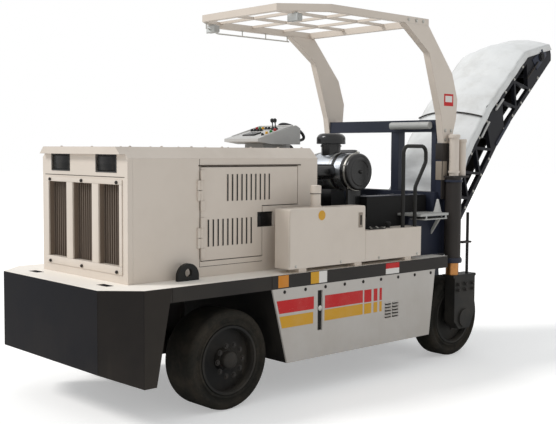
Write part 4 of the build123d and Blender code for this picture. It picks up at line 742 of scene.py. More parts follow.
class Shape:
    """A mesh in the making, in the row frame."""

    def __init__(self) -> None:
        """Starts an empty mesh."""
        self.mesh = bmesh.new()

    def box(self, low: Point, high: Point, round_off: float = 0.0) -> "Shape":
        """Adds a box between two corners, with its edges rounded off.

        Args:
            low: One corner.
            high: The opposite corner.
            round_off: Width of the rounding in metres.

        Returns:
            This shape.
        """
        first, last = Vector(low), Vector(high)
        middle = (first + last) / 2
        spread = Vector([abs(last[axis] - first[axis]) for axis in range(3)])
        matrix = Matrix.Translation(middle) @ Matrix.Diagonal((*spread, 1.0))
        made = bmesh.ops.create_cube(self.mesh, size=1.0, matrix=matrix)
        self._soften(made["verts"], min(round_off, min(spread) * 0.45))
        return self

    def _soften(self, vertices: Iterable[bmesh.types.BMVert], width: float) -> None:
        """Rounds the edges between these vertices."""
        if width <= 0:
            return
        chosen = {edge for vertex in vertices for edge in vertex.link_edges}
        bmesh.ops.bevel(
            self.mesh,
            geom=list(chosen),
            offset=width,
            segments=2,
            profile=0.6,
            affect="EDGES",
            clamp_overlap=True,
        )

    def prism(self, outline: Sequence[Point], step: Point, round_off: float = 0.0) -> "Shape":
        """Adds a prism: a flat outline swept by one step.

        Args:
            outline: Corners of the outline in order.
            step: The sweep.
            round_off: Width of the rounding in metres.

        Returns:
            This shape.
        """
        move = Vector(step)
        near = [self.mesh.verts.new(Vector(corner)) for corner in outline]
        far = [self.mesh.verts.new(Vector(corner) + move) for corner in outline]
        faces = [self.mesh.faces.new(near), self.mesh.faces.new(list(reversed(far)))]
        count = len(near)
        for index in range(count):
            after = (index + 1) % count
            faces.append(self.mesh.faces.new((near[index], far[index], far[after], near[after])))
        bmesh.ops.recalc_face_normals(self.mesh, faces=faces)
        self._soften(near + far, round_off)
        return self

    def ring_frame(
        self, path: Sequence[Vector], radius: float, sides: int, closed: bool
    ) -> "Shape":
        """Adds a round bar along a path.

        Args:
            path: Points of the bar's middle line.
            radius: Radius in metres.
            sides: Number of sides.
            closed: Whether the ends join.

        Returns:
            This shape.
        """
        count = len(path)
        turns = [math.tau * number / sides for number in range(sides)]
        rings = []
        reference = UP
        for index, spot in enumerate(path):
            before = path[index - 1] if index or closed else spot
            after = path[(index + 1) % count] if index < count - 1 or closed else spot
            ahead = (after - before).normalized()
            if abs(ahead.dot(reference)) > 0.95:
                reference = FORWARD if abs(ahead.x) < 0.9 else LEFTWARD
            across = ahead.cross(reference).normalized()
            up = across.cross(ahead).normalized()
            reference = up
            rings.append(
                [
                    self.mesh.verts.new(
                        spot + across * (radius * math.cos(turn)) + up * (radius * math.sin(turn))
                    )
                    for turn in turns
                ]
            )
        spans = count if closed else count - 1
        for index in range(spans):
            near, far = rings[index], rings[(index + 1) % count]
            for turn in range(sides):
                following = (turn + 1) % sides
                self.mesh.faces.new((near[turn], near[following], far[following], far[turn]))
        if not closed:
            self.mesh.faces.new(list(reversed(rings[0])))
            self.mesh.faces.new(rings[-1])
        return self

    def bar(self, start: Point, end: Point, radius: float, sides: int = 16) -> "Shape":
        """Adds a straight round bar between two points."""
        return self.ring_frame([Vector(start), Vector(end)], radius, sides, False)

    def pipe(
        self, corners: Sequence[Point], radius: float, bend: float, sides: int = 12
    ) -> "Shape":
        """Adds a pipe with round bends at its corners.

        Args:
            corners: Corner points of the pipe's middle line.
            radius: Radius of the pipe in metres.
            bend: Radius of the bends in metres.
            sides: Number of sides.

        Returns:
            This shape.
        """
        return self.ring_frame(rounded_path(corners, bend), radius, sides, False)

    def lathe(
        self, profile: Sequence[Span], centre: Point, axis: Point, steps: int = 48
    ) -> "Shape":
        """Adds a turned form.

        Args:
            profile: Distances along the axis and from it, in metres.
            centre: The point where the distance along the axis is 0.
            axis: Direction of the axis.
            steps: Number of steps round it.

        Returns:
            This shape.
        """
        spin = UP.rotation_difference(Vector(axis)).to_matrix()
        origin = Vector(centre)
        turns = [math.tau * number / steps for number in range(steps)]
        closed = profile[0] == profile[-1]
        points = profile[:-1] if closed else profile
        rings = []
        for along, radius in points:
            if radius < 1e-6:
                rings.append([self.mesh.verts.new(origin + spin @ Vector((0, 0, along)))])
                continue
            rings.append(
                [
                    self.mesh.verts.new(
                        origin
                        + spin @ Vector((radius * math.cos(turn), radius * math.sin(turn), along))
                    )
                    for turn in turns
                ]
            )
        faces = []
        spans = len(rings) if closed else len(rings) - 1
        for index in range(spans):
            near, far = rings[index], rings[(index + 1) % len(rings)]
            for turn in range(steps):
                after = (turn + 1) % steps
                corners = [near[turn % len(near)], near[after % len(near)]]
                corners += [far[after % len(far)], far[turn % len(far)]]
                unique = list(dict.fromkeys(corners))
                if len(unique) > 2:
                    faces.append(self.mesh.faces.new(unique))
        bmesh.ops.recalc_face_normals(self.mesh, faces=faces)
        return self

    def mesh_data(self, name: str) -> bpy.types.Mesh:
        """Ends the shape as a mesh of that name."""
        data = bpy.data.meshes.new(name)
        self.mesh.to_mesh(data)
        self.mesh.free()
        return data

    def piece(
        self, name: str, material: bpy.types.Material, body: str, smooth: float
    ) -> bpy.types.Object:
        """Ends the shape as a piece.

        Args:
            name: Name of the piece.
            material: Its finish.
            body: The body that it moves with.
            smooth: Largest angle, in radians, that is shaded smooth.

        Returns:
            The new object.
        """
        data = self.mesh_data(name)
        data.materials.append(material)
        return settle(name, data, body, smooth)


def rounded_path(corners: Sequence[Point], bend: float, steps: int = 6) -> list[Vector]:
    """Rounds the corners of a line of points.

    Args:
        corners: The corner points.
        bend: Radius of the bends in metres.
        steps: Points in each bend.

    Returns:
        The points of the rounded line.
    """
    spots = [Vector(corner) for corner in corners]
    path = [spots[0]]
    for before, corner, after in zip(spots, spots[1:], spots[2:]):
        back = (before - corner).normalized()
        ahead = (after - corner).normalized()
        angle = back.angle(ahead)
        reach = bend / math.tan(angle / 2) if angle > 0.01 else 0.0
        reach = min(reach, (before - corner).length * 0.49, (after - corner).length * 0.49)
        for step in range(steps + 1):
            share = step / steps
            start = corner + back * reach
            end = corner + ahead * reach
            path.append(start.lerp(corner, share).lerp(corner.lerp(end, share), share))
    path.append(spots[-1])
    return path


class SocketKind(Enum):
    """Kinds of named input that the trees take."""

    COUNT = "NodeSocketInt"
    SIZE = "NodeSocketFloat"
    VECTOR = "NodeSocketVector"
    MATERIAL = "NodeSocketMaterial"


class GeometryTree(Nodes):
    """A Geometry Nodes tree with named inputs, set on a mesh and then applied."""

    def __init__(self, name: str, inputs: dict[str, SocketKind]) -> None:
        """Starts a tree with a geometry input and these named inputs.

        Args:
            name: Name of the tree.
            inputs: Kind of each further input.
        """
        super().__init__(bpy.data.node_groups.new(name, "GeometryNodeTree"))
        face = self.tree.interface
        face.new_socket(name="Geometry", in_out="INPUT", socket_type="NodeSocketGeometry")
        face.new_socket(name="Geometry", in_out="OUTPUT", socket_type="NodeSocketGeometry")
        self.ids = {
            key: face.new_socket(name=key, in_out="INPUT", socket_type=kind.value).identifier
            for key, kind in inputs.items()
        }
        self.entry = self.node("NodeGroupInput")
        self.leave = self.node("NodeGroupOutput")

    def given(self, name: str) -> bpy.types.NodeSocket:
        """The tree's own input of that name."""
        return self.entry.outputs[name]

    def times(
        self, first: bpy.types.NodeSocket, second: float, operation: str = "MULTIPLY"
    ) -> bpy.types.NodeSocket:
        """Product of two numbers, or what another operation makes of them."""
        made = self.node("ShaderNodeMath", {"operation": operation}, {0: first, 1: second})
        return made.outputs[0]

    def end(self, points: bpy.types.NodeSocket, inputs: dict[str, object]) -> "GeometryTree":
        """Ends the tree with instances on points, realised and in the given material.

        Args:
            points: The points.
            inputs: Further inputs of the instances.

        Returns:
            This tree.
        """
        placed = self.node("GeometryNodeInstanceOnPoints", None, {"Points": points, **inputs})
        real = self.node("GeometryNodeRealizeInstances", None, {0: placed.outputs[0]})
        finish = {0: real.outputs[0], "Material": self.given("Finish")}
        dressed = self.node("GeometryNodeSetMaterial", None, finish)
        self.tree.links.new(dressed.outputs[0], self.leave.inputs[0])
        return self

    def apply(
        self, name: str, mesh: bpy.types.Mesh, values: dict[str, object], body: str, slot: str
    ) -> bpy.types.Object:
        """Runs the tree on a mesh and keeps the result as a plain piece.

        Args:
            name: Name of the piece.
            mesh: The mesh that the tree starts from.
            values: A value for each named input.
            body: The body that the piece moves with.
            slot: The record's material slot; not used.

        Returns:
            The new object.
        """
        holder = bpy.data.objects.new(name + "_holder", mesh)
        bpy.context.scene.collection.objects.link(holder)
        modifier = holder.modifiers.new(self.tree.name, "NODES")
        modifier.node_group = self.tree
        for key, value in values.items():
            modifier[self.ids[key]] = value
        graph = bpy.context.evaluated_depsgraph_get()
        result = bpy.data.meshes.new_from_object(holder.evaluated_get(graph))
        holder.modifiers.clear()
        bpy.data.objects.remove(holder)
        result.name = name
        return settle(name, result, body)


class Trees:
    """The three trees that make what repeats."""

    def __init__(self) -> None:
        """Builds the trees."""
        self.bolts = self._bolt_tree()
        self.row = self._row_tree()
        self.tread = self._tread_tree()

    def _bolt_tree(self) -> GeometryTree:
        """Hexagon head on a washer at every vertex, along its facing."""
        kinds = {
            "Head Radius": SocketKind.SIZE,
            "Head Height": SocketKind.SIZE,
            "Seed": SocketKind.COUNT,
            "Finish": SocketKind.MATERIAL,
        }
        made = GeometryTree("bolts_on_points", kinds)
        radius, height = made.given("Head Radius"), made.given("Head Height")
        both = made.node("GeometryNodeJoinGeometry")
        for corners, wide, depth in (
            (6, radius, height),
            (12, made.times(radius, 0.82), made.times(height, 1.12)),
            (16, made.times(radius, 1.5), made.times(height, 0.25)),
        ):
            sizes = {"Vertices": corners, "Radius": wide, "Depth": depth}
            part = made.node("GeometryNodeMeshCylinder", None, sizes)
            lift = made.node("ShaderNodeCombineXYZ", None, {"Z": made.times(depth, 0.5)})
            inputs = {0: part.outputs[0], "Translation": lift.outputs[0]}
            moved = made.node("GeometryNodeTransform", None, inputs)
            made.tree.links.new(moved.outputs[0], both.inputs[0])
        facing = made.node(
            "GeometryNodeInputNamedAttribute", {"data_type": "FLOAT_VECTOR"}, {"Name": "facing"}
        )
        aligned = made.node(
            "FunctionNodeAlignRotationToVector", {"axis": "Z"}, {"Vector": facing.outputs[0]}
        )
        limits = {2: 0.0, 3: math.tau, "Seed": made.given("Seed")}
        chance = made.node("FunctionNodeRandomValue", {"data_type": "FLOAT"}, limits)
        spin = made.node("FunctionNodeAxisAngleToRotation", None, {"Angle": chance.outputs[1]})
        turned = made.node(
            "FunctionNodeRotateRotation",
            {"rotation_space": "LOCAL"},
            {0: aligned.outputs[0], 1: spin.outputs[0]},
        )
        inputs = {"Instance": both.outputs[0], "Rotation": turned.outputs[0]}
        return made.end(made.given("Geometry"), inputs)

    def _row_tree(self) -> GeometryTree:
        """The given piece repeated by a step."""
        kinds = {
            "Count": SocketKind.COUNT,
            "Step": SocketKind.VECTOR,
            "Finish": SocketKind.MATERIAL,
        }
        made = GeometryTree("row_of_pieces", kinds)
        steps = {"Count": made.given("Count"), "Offset": made.given("Step")}
        line = made.node("GeometryNodeMeshLine", {"mode": "OFFSET"}, steps)
        return made.end(line.outputs[0], {"Instance": made.given("Geometry")})

    def _tread_tree(self) -> GeometryTree:
        """The given bar on a grid, turned the other way at every second place."""
        kinds = {
            "Length": SocketKind.SIZE,
            "Width": SocketKind.SIZE,
            "Along": SocketKind.COUNT,
            "Across": SocketKind.COUNT,
            "Place": SocketKind.VECTOR,
            "Finish": SocketKind.MATERIAL,
        }
        made = GeometryTree("tread_plate", kinds)
        sizes = {
            "Size X": made.given("Length"),
            "Size Y": made.given("Width"),
            "Vertices X": made.given("Along"),
            "Vertices Y": made.given("Across"),
        }
        grid = made.node("GeometryNodeMeshGrid", None, sizes)
        move = {0: grid.outputs[0], "Translation": made.given("Place")}
        set_down = made.node("GeometryNodeTransform", None, move)
        index = made.node("GeometryNodeInputIndex")
        quarter = made.times(made.times(index.outputs[0], 2.0, "MODULO"), math.pi / 2)
        turn = made.node("ShaderNodeCombineXYZ", None, {"Z": quarter})
        inputs = {"Instance": made.given("Geometry"), "Rotation": turn.outputs[0]}
        return made.end(set_down.outputs[0], inputs)


@dataclass
class Studio:
    """Pale floor, soft light, white surroundings and the camera."""

    camera_place: Point = (6.0434, 5.818, 1.831)
    yaw: float = 227.4305
    pitch: float = -3.7742
    roll: float = 0.3555
    focal_pixels: float = 939.517
    image_width: int = 556
    sensor_width: float = 36.0
    view_depth: float = 200.0
    white: Colour = (1.0, 1.0, 1.0)
    sky_colour: Colour = (0.92, 0.96, 1.0)
    sky: float = 0.62
    key: float = 1.75
    key_from: Point = (1.0, -0.7, 1.1)
    key_spread: float = 16.0
    floor_colour: Colour = (0.88, 0.86, 0.83)
    floor_roughness: float = 0.95
    floor_specular: float = 0.1
    floor_glow: float = 0.36
    floor_reach: float = 60.0
    floor_z: float = -0.0005

    def build(self) -> None:
        """Makes the whole studio."""
        self._world()
        self._floor()
        self._lamps()
        self._camera()

    def _world(self) -> None:
        """White to the camera and in reflections, plain light to the rest."""
        world = bpy.data.worlds.new("studio_world")
        bpy.context.scene.world = world
        world.use_nodes = True
        nodes = Nodes(world.node_tree)
        nodes.tree.nodes.clear()
        rays = nodes.node("ShaderNodeLightPath").outputs
        shown = rays["Is Camera Ray"]
        for ray in ("Is Transmission Ray", "Is Glossy Ray"):
            inputs = {0: shown, 1: rays[ray]}
            shown = nodes.node("ShaderNodeMath", {"operation": "MAXIMUM"}, inputs).outputs[0]
        plain, white = (
            nodes.node("ShaderNodeBackground", None, {"Color": colour, "Strength": strength})
            for colour, strength in ((self.sky_colour, self.sky), (self.white, 1.0))
        )
        inputs = {0: shown, 1: plain.outputs[0], 2: white.outputs[0]}
        mixed = nodes.node("ShaderNodeMixShader", None, inputs)
        nodes.node("ShaderNodeOutputWorld", None, {"Surface": mixed.outputs[0]})

    def _floor(self) -> None:
        """Large pale floor that keeps the shadow."""
        graph = Graph("studio_floor")
        seen = Value(graph, graph.node("ShaderNodeLightPath").outputs["Is Camera Ray"])
        sockets = {
            "Base Color": self.floor_colour,
            "Roughness": self.floor_roughness,
            "Specular IOR Level": self.floor_specular,
            "Emission Color": self.white,
            "Emission Strength": seen * self.floor_glow,
        }
        reach, signs = self.floor_reach, ((-1, -1), (1, -1), (1, 1), (-1, 1))
        corners = [(reach * x, reach * y, self.floor_z) for x, y in signs]
        mesh = bpy.data.meshes.new("studio_floor")
        mesh.from_pydata(corners, [], [(0, 1, 2, 3)])
        mesh.materials.append(graph.finish(sockets))
        floor = bpy.data.objects.new("studio_floor", mesh)
        bpy.context.scene.collection.objects.link(floor)

    def _lamps(self) -> None:
        """One soft key from the front and the right."""
        data = bpy.data.lights.new("key_light", "SUN")
        data.energy = self.key
        data.angle = math.radians(self.key_spread)
        lamp = bpy.data.objects.new("key_light", data)
        lamp.rotation_euler = Vector(self.key_from).to_track_quat("Z", "Y").to_euler()
        bpy.context.scene.collection.objects.link(lamp)

    def _camera(self) -> None:
        """Camera at the photograph's place and angle."""
        yaw, pitch, roll = (math.radians(turn) for turn in (self.yaw, self.pitch, self.roll))
        level = math.cos(pitch)
        look = Vector((math.cos(yaw) * level, math.sin(yaw) * level, math.sin(pitch)))
        right = look.cross(UP).normalized()
        up = right.cross(look)
        rolled_right = right * math.cos(roll) + up * math.sin(roll)
        rolled_up = up * math.cos(roll) - right * math.sin(roll)
        data = bpy.data.cameras.new("photo_camera")
        data.sensor_width = self.sensor_width
        data.sensor_fit = "HORIZONTAL"
        data.lens = self.focal_pixels * self.sensor_width / self.image_width
        data.clip_end = self.view_depth
        camera = bpy.data.objects.new("photo_camera", data)
        axes = Matrix((rolled_right, rolled_up, -look)).transposed().to_4x4()
        camera.matrix_world = Matrix.Translation(Vector(self.camera_place)) @ axes
        scene = bpy.context.scene
        scene.collection.objects.link(camera)
        scene.camera = camera
        scene.view_settings.view_transform = "Standard"


def shifted(span: Sequence[float], y: float, z: float = 0.0) -> Box:
    """Moves a box's limits by these distances in Y and Z."""
    front, rear, inner, outer, low, high = span
    return front, rear, inner + y, outer + y, low + z, high + z


@dataclass
class Assembly:
    """What every sub-assembly shares: finishes, trees and the place of the nose."""

    finishes: Finishes
    trees: Trees
    nose: float

    def at(self, aft: float, y: float, z: float, side: Side = Side.LEFT) -> Vector:
        """Point in the row frame.

        Args:
            aft: Millimetres behind the nose.
            y: Millimetres from the middle, outwards on the side.
            z: Millimetres above the ground.
            side: The machine's side.

        Returns:
            The point in metres.
        """
        return Vector((self.nose - aft * MM, side.value * y * MM, z * MM))

    def boxes(
        self,
        shape: Shape,
        spans: Iterable[Sequence[float]],
        round_off: float = 0.0,
        side: Side = Side.LEFT,
    ) -> Shape:
        """Adds boxes to a shape.

        Args:
            shape: The shape.
            spans: Two limits aft, two of Y and two of Z for each box, in millimetres.
            round_off: Width of the rounding in metres.
            side: The machine's side.

        Returns:
            The shape.
        """
        for front, rear, inner, outer, low, high in spans:
            shape.box(self.at(front, inner, low, side), self.at(rear, outer, high, side), round_off)
        return shape

    def rod(
        self,
        shape: Shape,
        start: Sequence[float],
        end: Sequence[float],
        radius: float,
        sides: int = 16,
        side: Side = Side.LEFT,
    ) -> Shape:
        """Adds a straight round bar to a shape.

        Args:
            shape: The shape.
            start: Aft, Y and Z of one end in millimetres.
            end: Aft, Y and Z of the other end.
            radius: Radius in metres.
            sides: Number of sides.
            side: The machine's side.

        Returns:
            The shape.
        """
        return shape.bar(self.at(*start, side), self.at(*end, side), radius, sides)

    def add(
        self,
        shape: Shape,
        name: str,
        finish: str,
        slot: str = "",
        body: str = "chassis",
        smooth: float = SMOOTH,
    ) -> bpy.types.Object:
        """Ends a shape as a piece.

        Args:
            shape: The shape.
            name: Name of the piece.
            finish: Name of its finish.
            slot: The record's material slot, where it isn't called as the finish is; not used.
            body: The body that it moves with.
            smooth: Largest angle, in radians, that is shaded smooth.

        Returns:
            The piece.
        """
        return shape.piece(name, self.finishes[finish], body, smooth)

    def bolts(
        self,
        name: str,
        seats: Sequence[tuple[Vector, Vector]],
        head: float,
        finish: str = "bright_zinc",
        slot: str = "cream_paint",
        body: str = "chassis",
    ) -> bpy.types.Object:
        """Sets hexagon bolts at seats.

        Args:
            name: Name of the piece.
            seats: Point and outward direction of each bolt.
            head: Radius of the head in millimetres.
            finish: Name of the finish.
            slot: The record's material slot; handed on, but not used.
            body: The body that they move with.

        Returns:
            The piece.
        """
        mesh = bpy.data.meshes.new(name + "_seats")
        mesh.from_pydata([tuple(spot) for spot, _ in seats], [], [])
        facing = mesh.attributes.new("facing", "FLOAT_VECTOR", "POINT")
        for index, (_, way) in enumerate(seats):
            facing.data[index].vector = tuple(way)
        values = {
            "Head Radius": head * MM,
            "Head Height": head * 0.75 * MM,
            "Seed": BOLT_SEED,
            "Finish": self.finishes[finish],
        }
        return self.trees.bolts.apply(name, mesh, values, body, slot)

    def row(
        self,
        name: str,
        first: Shape,
        count: int,
        step: Vector,
        finish: str,
        slot: str,
        body: str = "chassis",
    ) -> bpy.types.Object:
        """Repeats a first piece by a step.

        Args:
            name: Name of the piece.
            first: The first of the row.
            count: How many there are.
            step: From one to the next, in metres.
            finish: Name of the finish.
            slot: The record's material slot; handed on, but not used.
            body: The body that it moves with.

        Returns:
            The piece.
        """
        values = {"Count": count, "Step": tuple(step), "Finish": self.finishes[finish]}
        return self.trees.row.apply(name, first.mesh_data(name + "_first"), values, body, slot)


@dataclass(frozen=True)
class Stripe:
    """One colour of the skirt's stripes, in millimetres: a slanted part, a plain one and bars."""

    colour: str
    slant: Span
    first_rear: float
    first_z: Span
    second_front: float
    second_z: Span
    bars_z: Span


@dataclass
class Chassis(Assembly):
    """Ballast box, side beams and skirts: stripes, blank stickers, seams and bolts."""

    side_y: float = 850.0
    film: float = 1.4
    red: Stripe = Stripe("red", (1371, 1397), 1750, (642, 737), 1869, (632, 731), (630, 729))
    yellow: Stripe = Stripe("yellow", (1400, 1424), 1743, (533, 620), 1865, (538, 622), (538, 620))
    second_rear: float = 2294.0
    bars: tuple[Span, ...] = ((2312, 2396), (2423, 2467), (2494, 2521))
    beam_z: Span = (833.0, 921.0)
    orange_aft: Span = (1387.0, 1489.0)
    yellow_aft: Span = (1717.0, 1803.0)
    white_aft: Span = (1803.0, 1889.0)
    rear_aft: Span = (2567.0, 2732.0)
    first_bolt: float = 1450.0
    bolt_pitch: float = 212.0
    bolt_z: float = 798.0
    bolt_count: int = 9
    hanger: Span = (1817.0, 640.0)
    pin_form: Profile = ((0, 0), (0, 0.021), (0.006, 0.021), (0.009, 0.016), (0.009, 0))
    beam_welds: Span = (448.0, 1329.0)
    beam_weld_z: Span = (828.0, 922.0)
    weld_proud: float = 0.425
    # Box of the near-black plate of painted shade in each lifting slot.
    slot_spans: tuple[float, ...] = (199, 141, 406, 534, 913.4, 915)
    ballast_welds: tuple[tuple[float, ...], ...] = ((1, 646, 376), (222, 849, 283))
    weld_top: float = 923.0
    vent_middle: Span = (2645.0, 535.0)
    vent_pitch: float = 26.4
    vent_shift: float = 45.0
    vent_half: float = 38.0
    vent_lips: int = 5
    lip_section: tuple[Span, ...] = ((0, 0), (0, 11), (9, 2), (9, 0))

    def build(self) -> None:
        """Dresses the chassis."""
        for side in Side:
            self._stripes(side)
            self._beam_bolts(side)
        self._beam_stickers()
        self._ballast()
        self._vent_hoods()

    def patch(self, shape: Shape, side: Side, corners: Sequence[Span]) -> None:
        """Adds a film patch with these aft and height corners on one side."""
        outline = [self.at(aft, self.side_y, z, side) for aft, z in corners]
        shape.prism(outline, side.out * (self.film * MM))

    def oblong(self, shape: Shape, side: Side, aft: Span, z: Span) -> None:
        """Adds an upright film rectangle on one side."""
        self.patch(shape, side, [(aft[0], z[0]), (aft[0], z[1]), (aft[1], z[1]), (aft[1], z[0])])

    def _stripes(self, side: Side) -> None:
        """Red band above a yellow band, which break up towards the rear.

        Args:
            side: The machine's side.
        """
        for stripe in (self.red, self.yellow):
            band = Shape()
            low, high = stripe.first_z
            top, bottom = stripe.slant
            rear = stripe.first_rear
            self.patch(band, side, [(top, high), (rear, high), (rear, low), (bottom, low)])
            self.oblong(band, side, (stripe.second_front, self.second_rear), stripe.second_z)
            for bar in self.bars:
                self.oblong(band, side, bar, stripe.bars_z)
            name = f"{side.word}_{stripe.colour}_stripe"
            self.add(band, name, f"{stripe.colour}_film", "skirt_paint")

    def _beam_stickers(self) -> None:
        """Blank stickers on the left side beam."""
        low, high = self.beam_z
        middle = (low + high) / 2
        for colour, patches in (
            ("orange", [(self.orange_aft, (low, high))]),
            ("yellow", [(self.yellow_aft, (low, high))]),
            ("white", [(self.white_aft, (low, high)), (self.rear_aft, (low, middle))]),
            ("red", [(self.rear_aft, (middle, high))]),
        ):
            shape = Shape()
            for aft, z in patches:
                self.oblong(shape, Side.LEFT, aft, z)
            self.add(shape, f"beam_sticker_{colour}", f"{colour}_film", "frame_paint")

    def _beam_bolts(self, side: Side) -> None:
        """Bolts that hold the skirt, the hanger pin in its slot and the beam's welds.

        Args:
            side: The machine's side.
        """
        y = self.side_y
        afts = [self.first_bolt + number * self.bolt_pitch for number in range(self.bolt_count)]
        seats = [(self.at(aft, y, self.bolt_z, side), side.out) for aft in afts]
        self.bolts(f"{side.word}_skirt_bolts", seats, 9, "dark_steel", "skirt_paint")
        hanger, weld = Shape(), Shape()
        aft, z = self.hanger
        self.rod(hanger, (aft, y - 30, z), (aft, y, z), 0.02, 24, side)
        hanger.lathe(self.pin_form, self.at(aft, y - 4, z, side), side.out)
        self.add(hanger, f"{side.word}_hanger_pin", "bright_zinc", "machined_steel")
        out, (low, high) = y + self.weld_proud, self.beam_weld_z
        for aft in self.beam_welds:
            self.rod(weld, (aft, out, low), (aft, out, high), 0.004, 8, side)
        self.add(weld, f"{side.word}_beam_welds", "frame_paint")

    def _ballast(self) -> None:
        """Near-black plates of painted shade in the lifting slots, and the weld lines of the box.
        """
        slots, seams = Shape(), Shape()
        for side in Side:
            # Painted shade: a near-black plate a little below the deck in each lifting slot.
            self.boxes(slots, [self.slot_spans], 0.0, side)
            for aft, y, low in self.ballast_welds:
                self.rod(seams, (aft, y, low), (aft, y, self.weld_top), 0.0025, 8, side)
        self.add(slots, "ballast_slot_floors", "dark_film", "ballast_paint")
        self.add(seams, "ballast_welds", "ballast_paint")

    def _vent_hoods(self) -> None:
        """Pressed lips over the slots of the skirt's vent."""
        aft, z = self.vent_middle
        low = z - 1.8 * self.vent_pitch
        for side in Side:
            first = Shape()
            for shift in (-self.vent_shift, self.vent_shift):
                front = aft + shift - self.vent_half
                outline = [
                    self.at(front, self.side_y + out, low + up, side)
                    for out, up in self.lip_section
                ]
                first.prism(outline, FORWARD * (-2 * self.vent_half * MM), 0.0012)
            step = UP * (self.vent_pitch * MM)
            name = f"{side.word}_vent_lips"
            self.row(name, first, self.vent_lips, step, "skirt_cream", "skirt_paint")


@dataclass
class Hood(Assembly):
    """Engine hood: window frames, mesh, lamps, knobs, seams and door furniture."""

    face: float = 286.0
    half: float = 568.0
    window_half: float = 127.5
    window_pitch: float = 345.0
    window_z: Span = (1040.0, 1592.0)
    frame_proud: float = 7.0
    frame_edge: float = 34.0
    bar_half: float = 43.0
    knob_y: tuple[float, ...] = (-447.0, -4.0, 447.0)
    knob_form: Profile = (
        (0, 0), (0, 0.010), (0.003, 0.012), (0.009, 0.012), (0.014, 0.008), (0.015, 0),
    )
    mesh_wires: int = 42
    mesh_pitch: float = 13.1
    lamp_y: float = 305.0
    lamp_z: float = 1734.0
    lamp_rims: tuple[Box, ...] = (
        (1, -4, -130, 130, 53, 62),
        (1, -4, -130, 130, -62, -53),
        (1, -4, -130, -121, -53, 53),
        (1, -4, 121, 130, -53, 53),
    )
    lamp_pane: Box = (16, 3, -120, 120, -52, 52)
    roof_z: float = 1847.0
    roof_seams: tuple[float, ...] = (886.0, 1462.0, 1868.0)
    roof_bolts: tuple[float, ...] = (380, 640, 900, 1180, 1460, 1740, 1990)
    seam_y: Span = (-0.44, 0.77)
    seam_lines: tuple[tuple[Span, Span], ...] = (
        ((884, 887.5), (1000, 1765)),
        ((884, 1478), (998, 1001.5)),
    )
    roof_half: float = 482.0
    roof_bolt_y: float = 455.0
    gutter_aft: Span = (876, 1872)
    gutter_z: Span = (1713, 1722)
    gutter_proud: float = 4.84
    banks: tuple[tuple[str, float, float], ...] = (
        ("upper", 1134.8, 1557.0),
        ("lower", 956.8, 1236.0),
    )
    lip_section: tuple[Span, ...] = ((0, -12), (-4, 0), (-3, 3.6), (0, 3.6), (5, -12))
    louvres: int = 10
    louvre_pitch: float = 44.8
    louvre_half: float = 96.0
    # Areas of the near-black plates of painted shade behind each bank of louvres.
    backs: tuple[tuple[Span, Span], ...] = (
        ((940, 1400), (1120, 1350)),
        ((1110, 1590), (1440, 1672)),
    )
    # Millimetres by which the plates of painted shade sit in from the door's face.
    back_sunk: float = 0.6
    recess: float = 21.0
    notch_z: Span = (1254, 1371)
    latch_aft: Span = (1431, 1476)
    grip_aft: Span = (1440, 1466)
    grip_z: Span = (1290, 1336)
    intake_aft: Span = (1484, 1596)

    @property
    def windows(self) -> tuple[float, ...]:
        """Middles of the three windows."""
        return -self.window_pitch, 0.0, self.window_pitch

    def build(self) -> None:
        """Dresses the hood and its doors."""
        self._front_panel()
        self._mesh()
        self._lamps()
        self._roof()
        for side in Side:
            self._side_seams(side)
            self._door(side)

    def _front_panel(self) -> None:
        """Raised frame round the three windows, its knobs, the liners and the seam above."""
        low, high = self.window_z
        near, front = self.face + 0.5, self.face - self.frame_proud
        inner, gap = self.window_pitch + self.window_half, self.window_half + 45
        outer = inner + self.frame_edge
        frame, knobs, liners, seam = Shape(), Shape(), Shape(), Shape()
        rails = [(high, high + self.frame_edge), (low - 56, low)]
        self.boxes(frame, [(near, front, -outer, outer, *z) for z in rails], 0.002)
        for side in Side:
            spans = [(inner, outer), (gap - self.bar_half, gap + self.bar_half)]
            self.boxes(frame, [(near, front, *y, low, high) for y in spans], 0.002, side)
        self.add(frame, "window_frame", "cream_paint")
        for y in self.knob_y:
            for z in (high + 15, low - 38):
                knobs.lathe(self.knob_form, self.at(front + 1, y, z), FORWARD, 24)
        self.add(knobs, "window_knobs", "dark_steel", "black_paint")
        for middle in self.windows:
            for y in (middle - self.window_half, middle + self.window_half - 1.5):
                self.boxes(liners, [(self.face + 4, self.face + 38, y, y + 1.5, low, high)])
        self.add(liners, "window_liners", "liner_film", "cream_paint")
        self.boxes(seam, [(near, self.face - 0.8, -531, 531, 1640, 1645)])
        self.add(seam, "front_panel_seam", "seam_film", "cream_paint")

    def _mesh(self) -> None:
        """Fine wires behind each window."""
        depth, z = self.face + 47, self.window_z[0] + 6
        wires = Shape()
        for middle in self.windows:
            start, end = middle - self.window_half, middle + self.window_half
            self.rod(wires, (depth, start, z), (depth, end, z), 0.0016, 5)
        step = UP * (self.mesh_pitch * MM)
        self.row("window_mesh", wires, self.mesh_wires, step, "grille_paint", "grey_paint")

    def _lamps(self) -> None:
        """Dark headlamps: the bezel and the glass of each side."""
        bezel, glass = Shape(), Shape()
        face, z = self.face, self.lamp_z
        rims = [
            shifted((face + front, face + rear, *rest), self.lamp_y, z)
            for front, rear, *rest in self.lamp_rims
        ]
        front, rear, *rest = self.lamp_pane
        pane = shifted((face + front, face + rear, *rest), self.lamp_y, z)
        for side in Side:
            self.boxes(bezel, rims, 0.0015, side)
            self.boxes(glass, [pane], 0.005, side)
        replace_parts(self.add(glass, "headlamp_lenses", "lamp_glass"), "headlamps")
        self.add(bezel, "headlamp_bezels", "black_plastic", "black_paint")

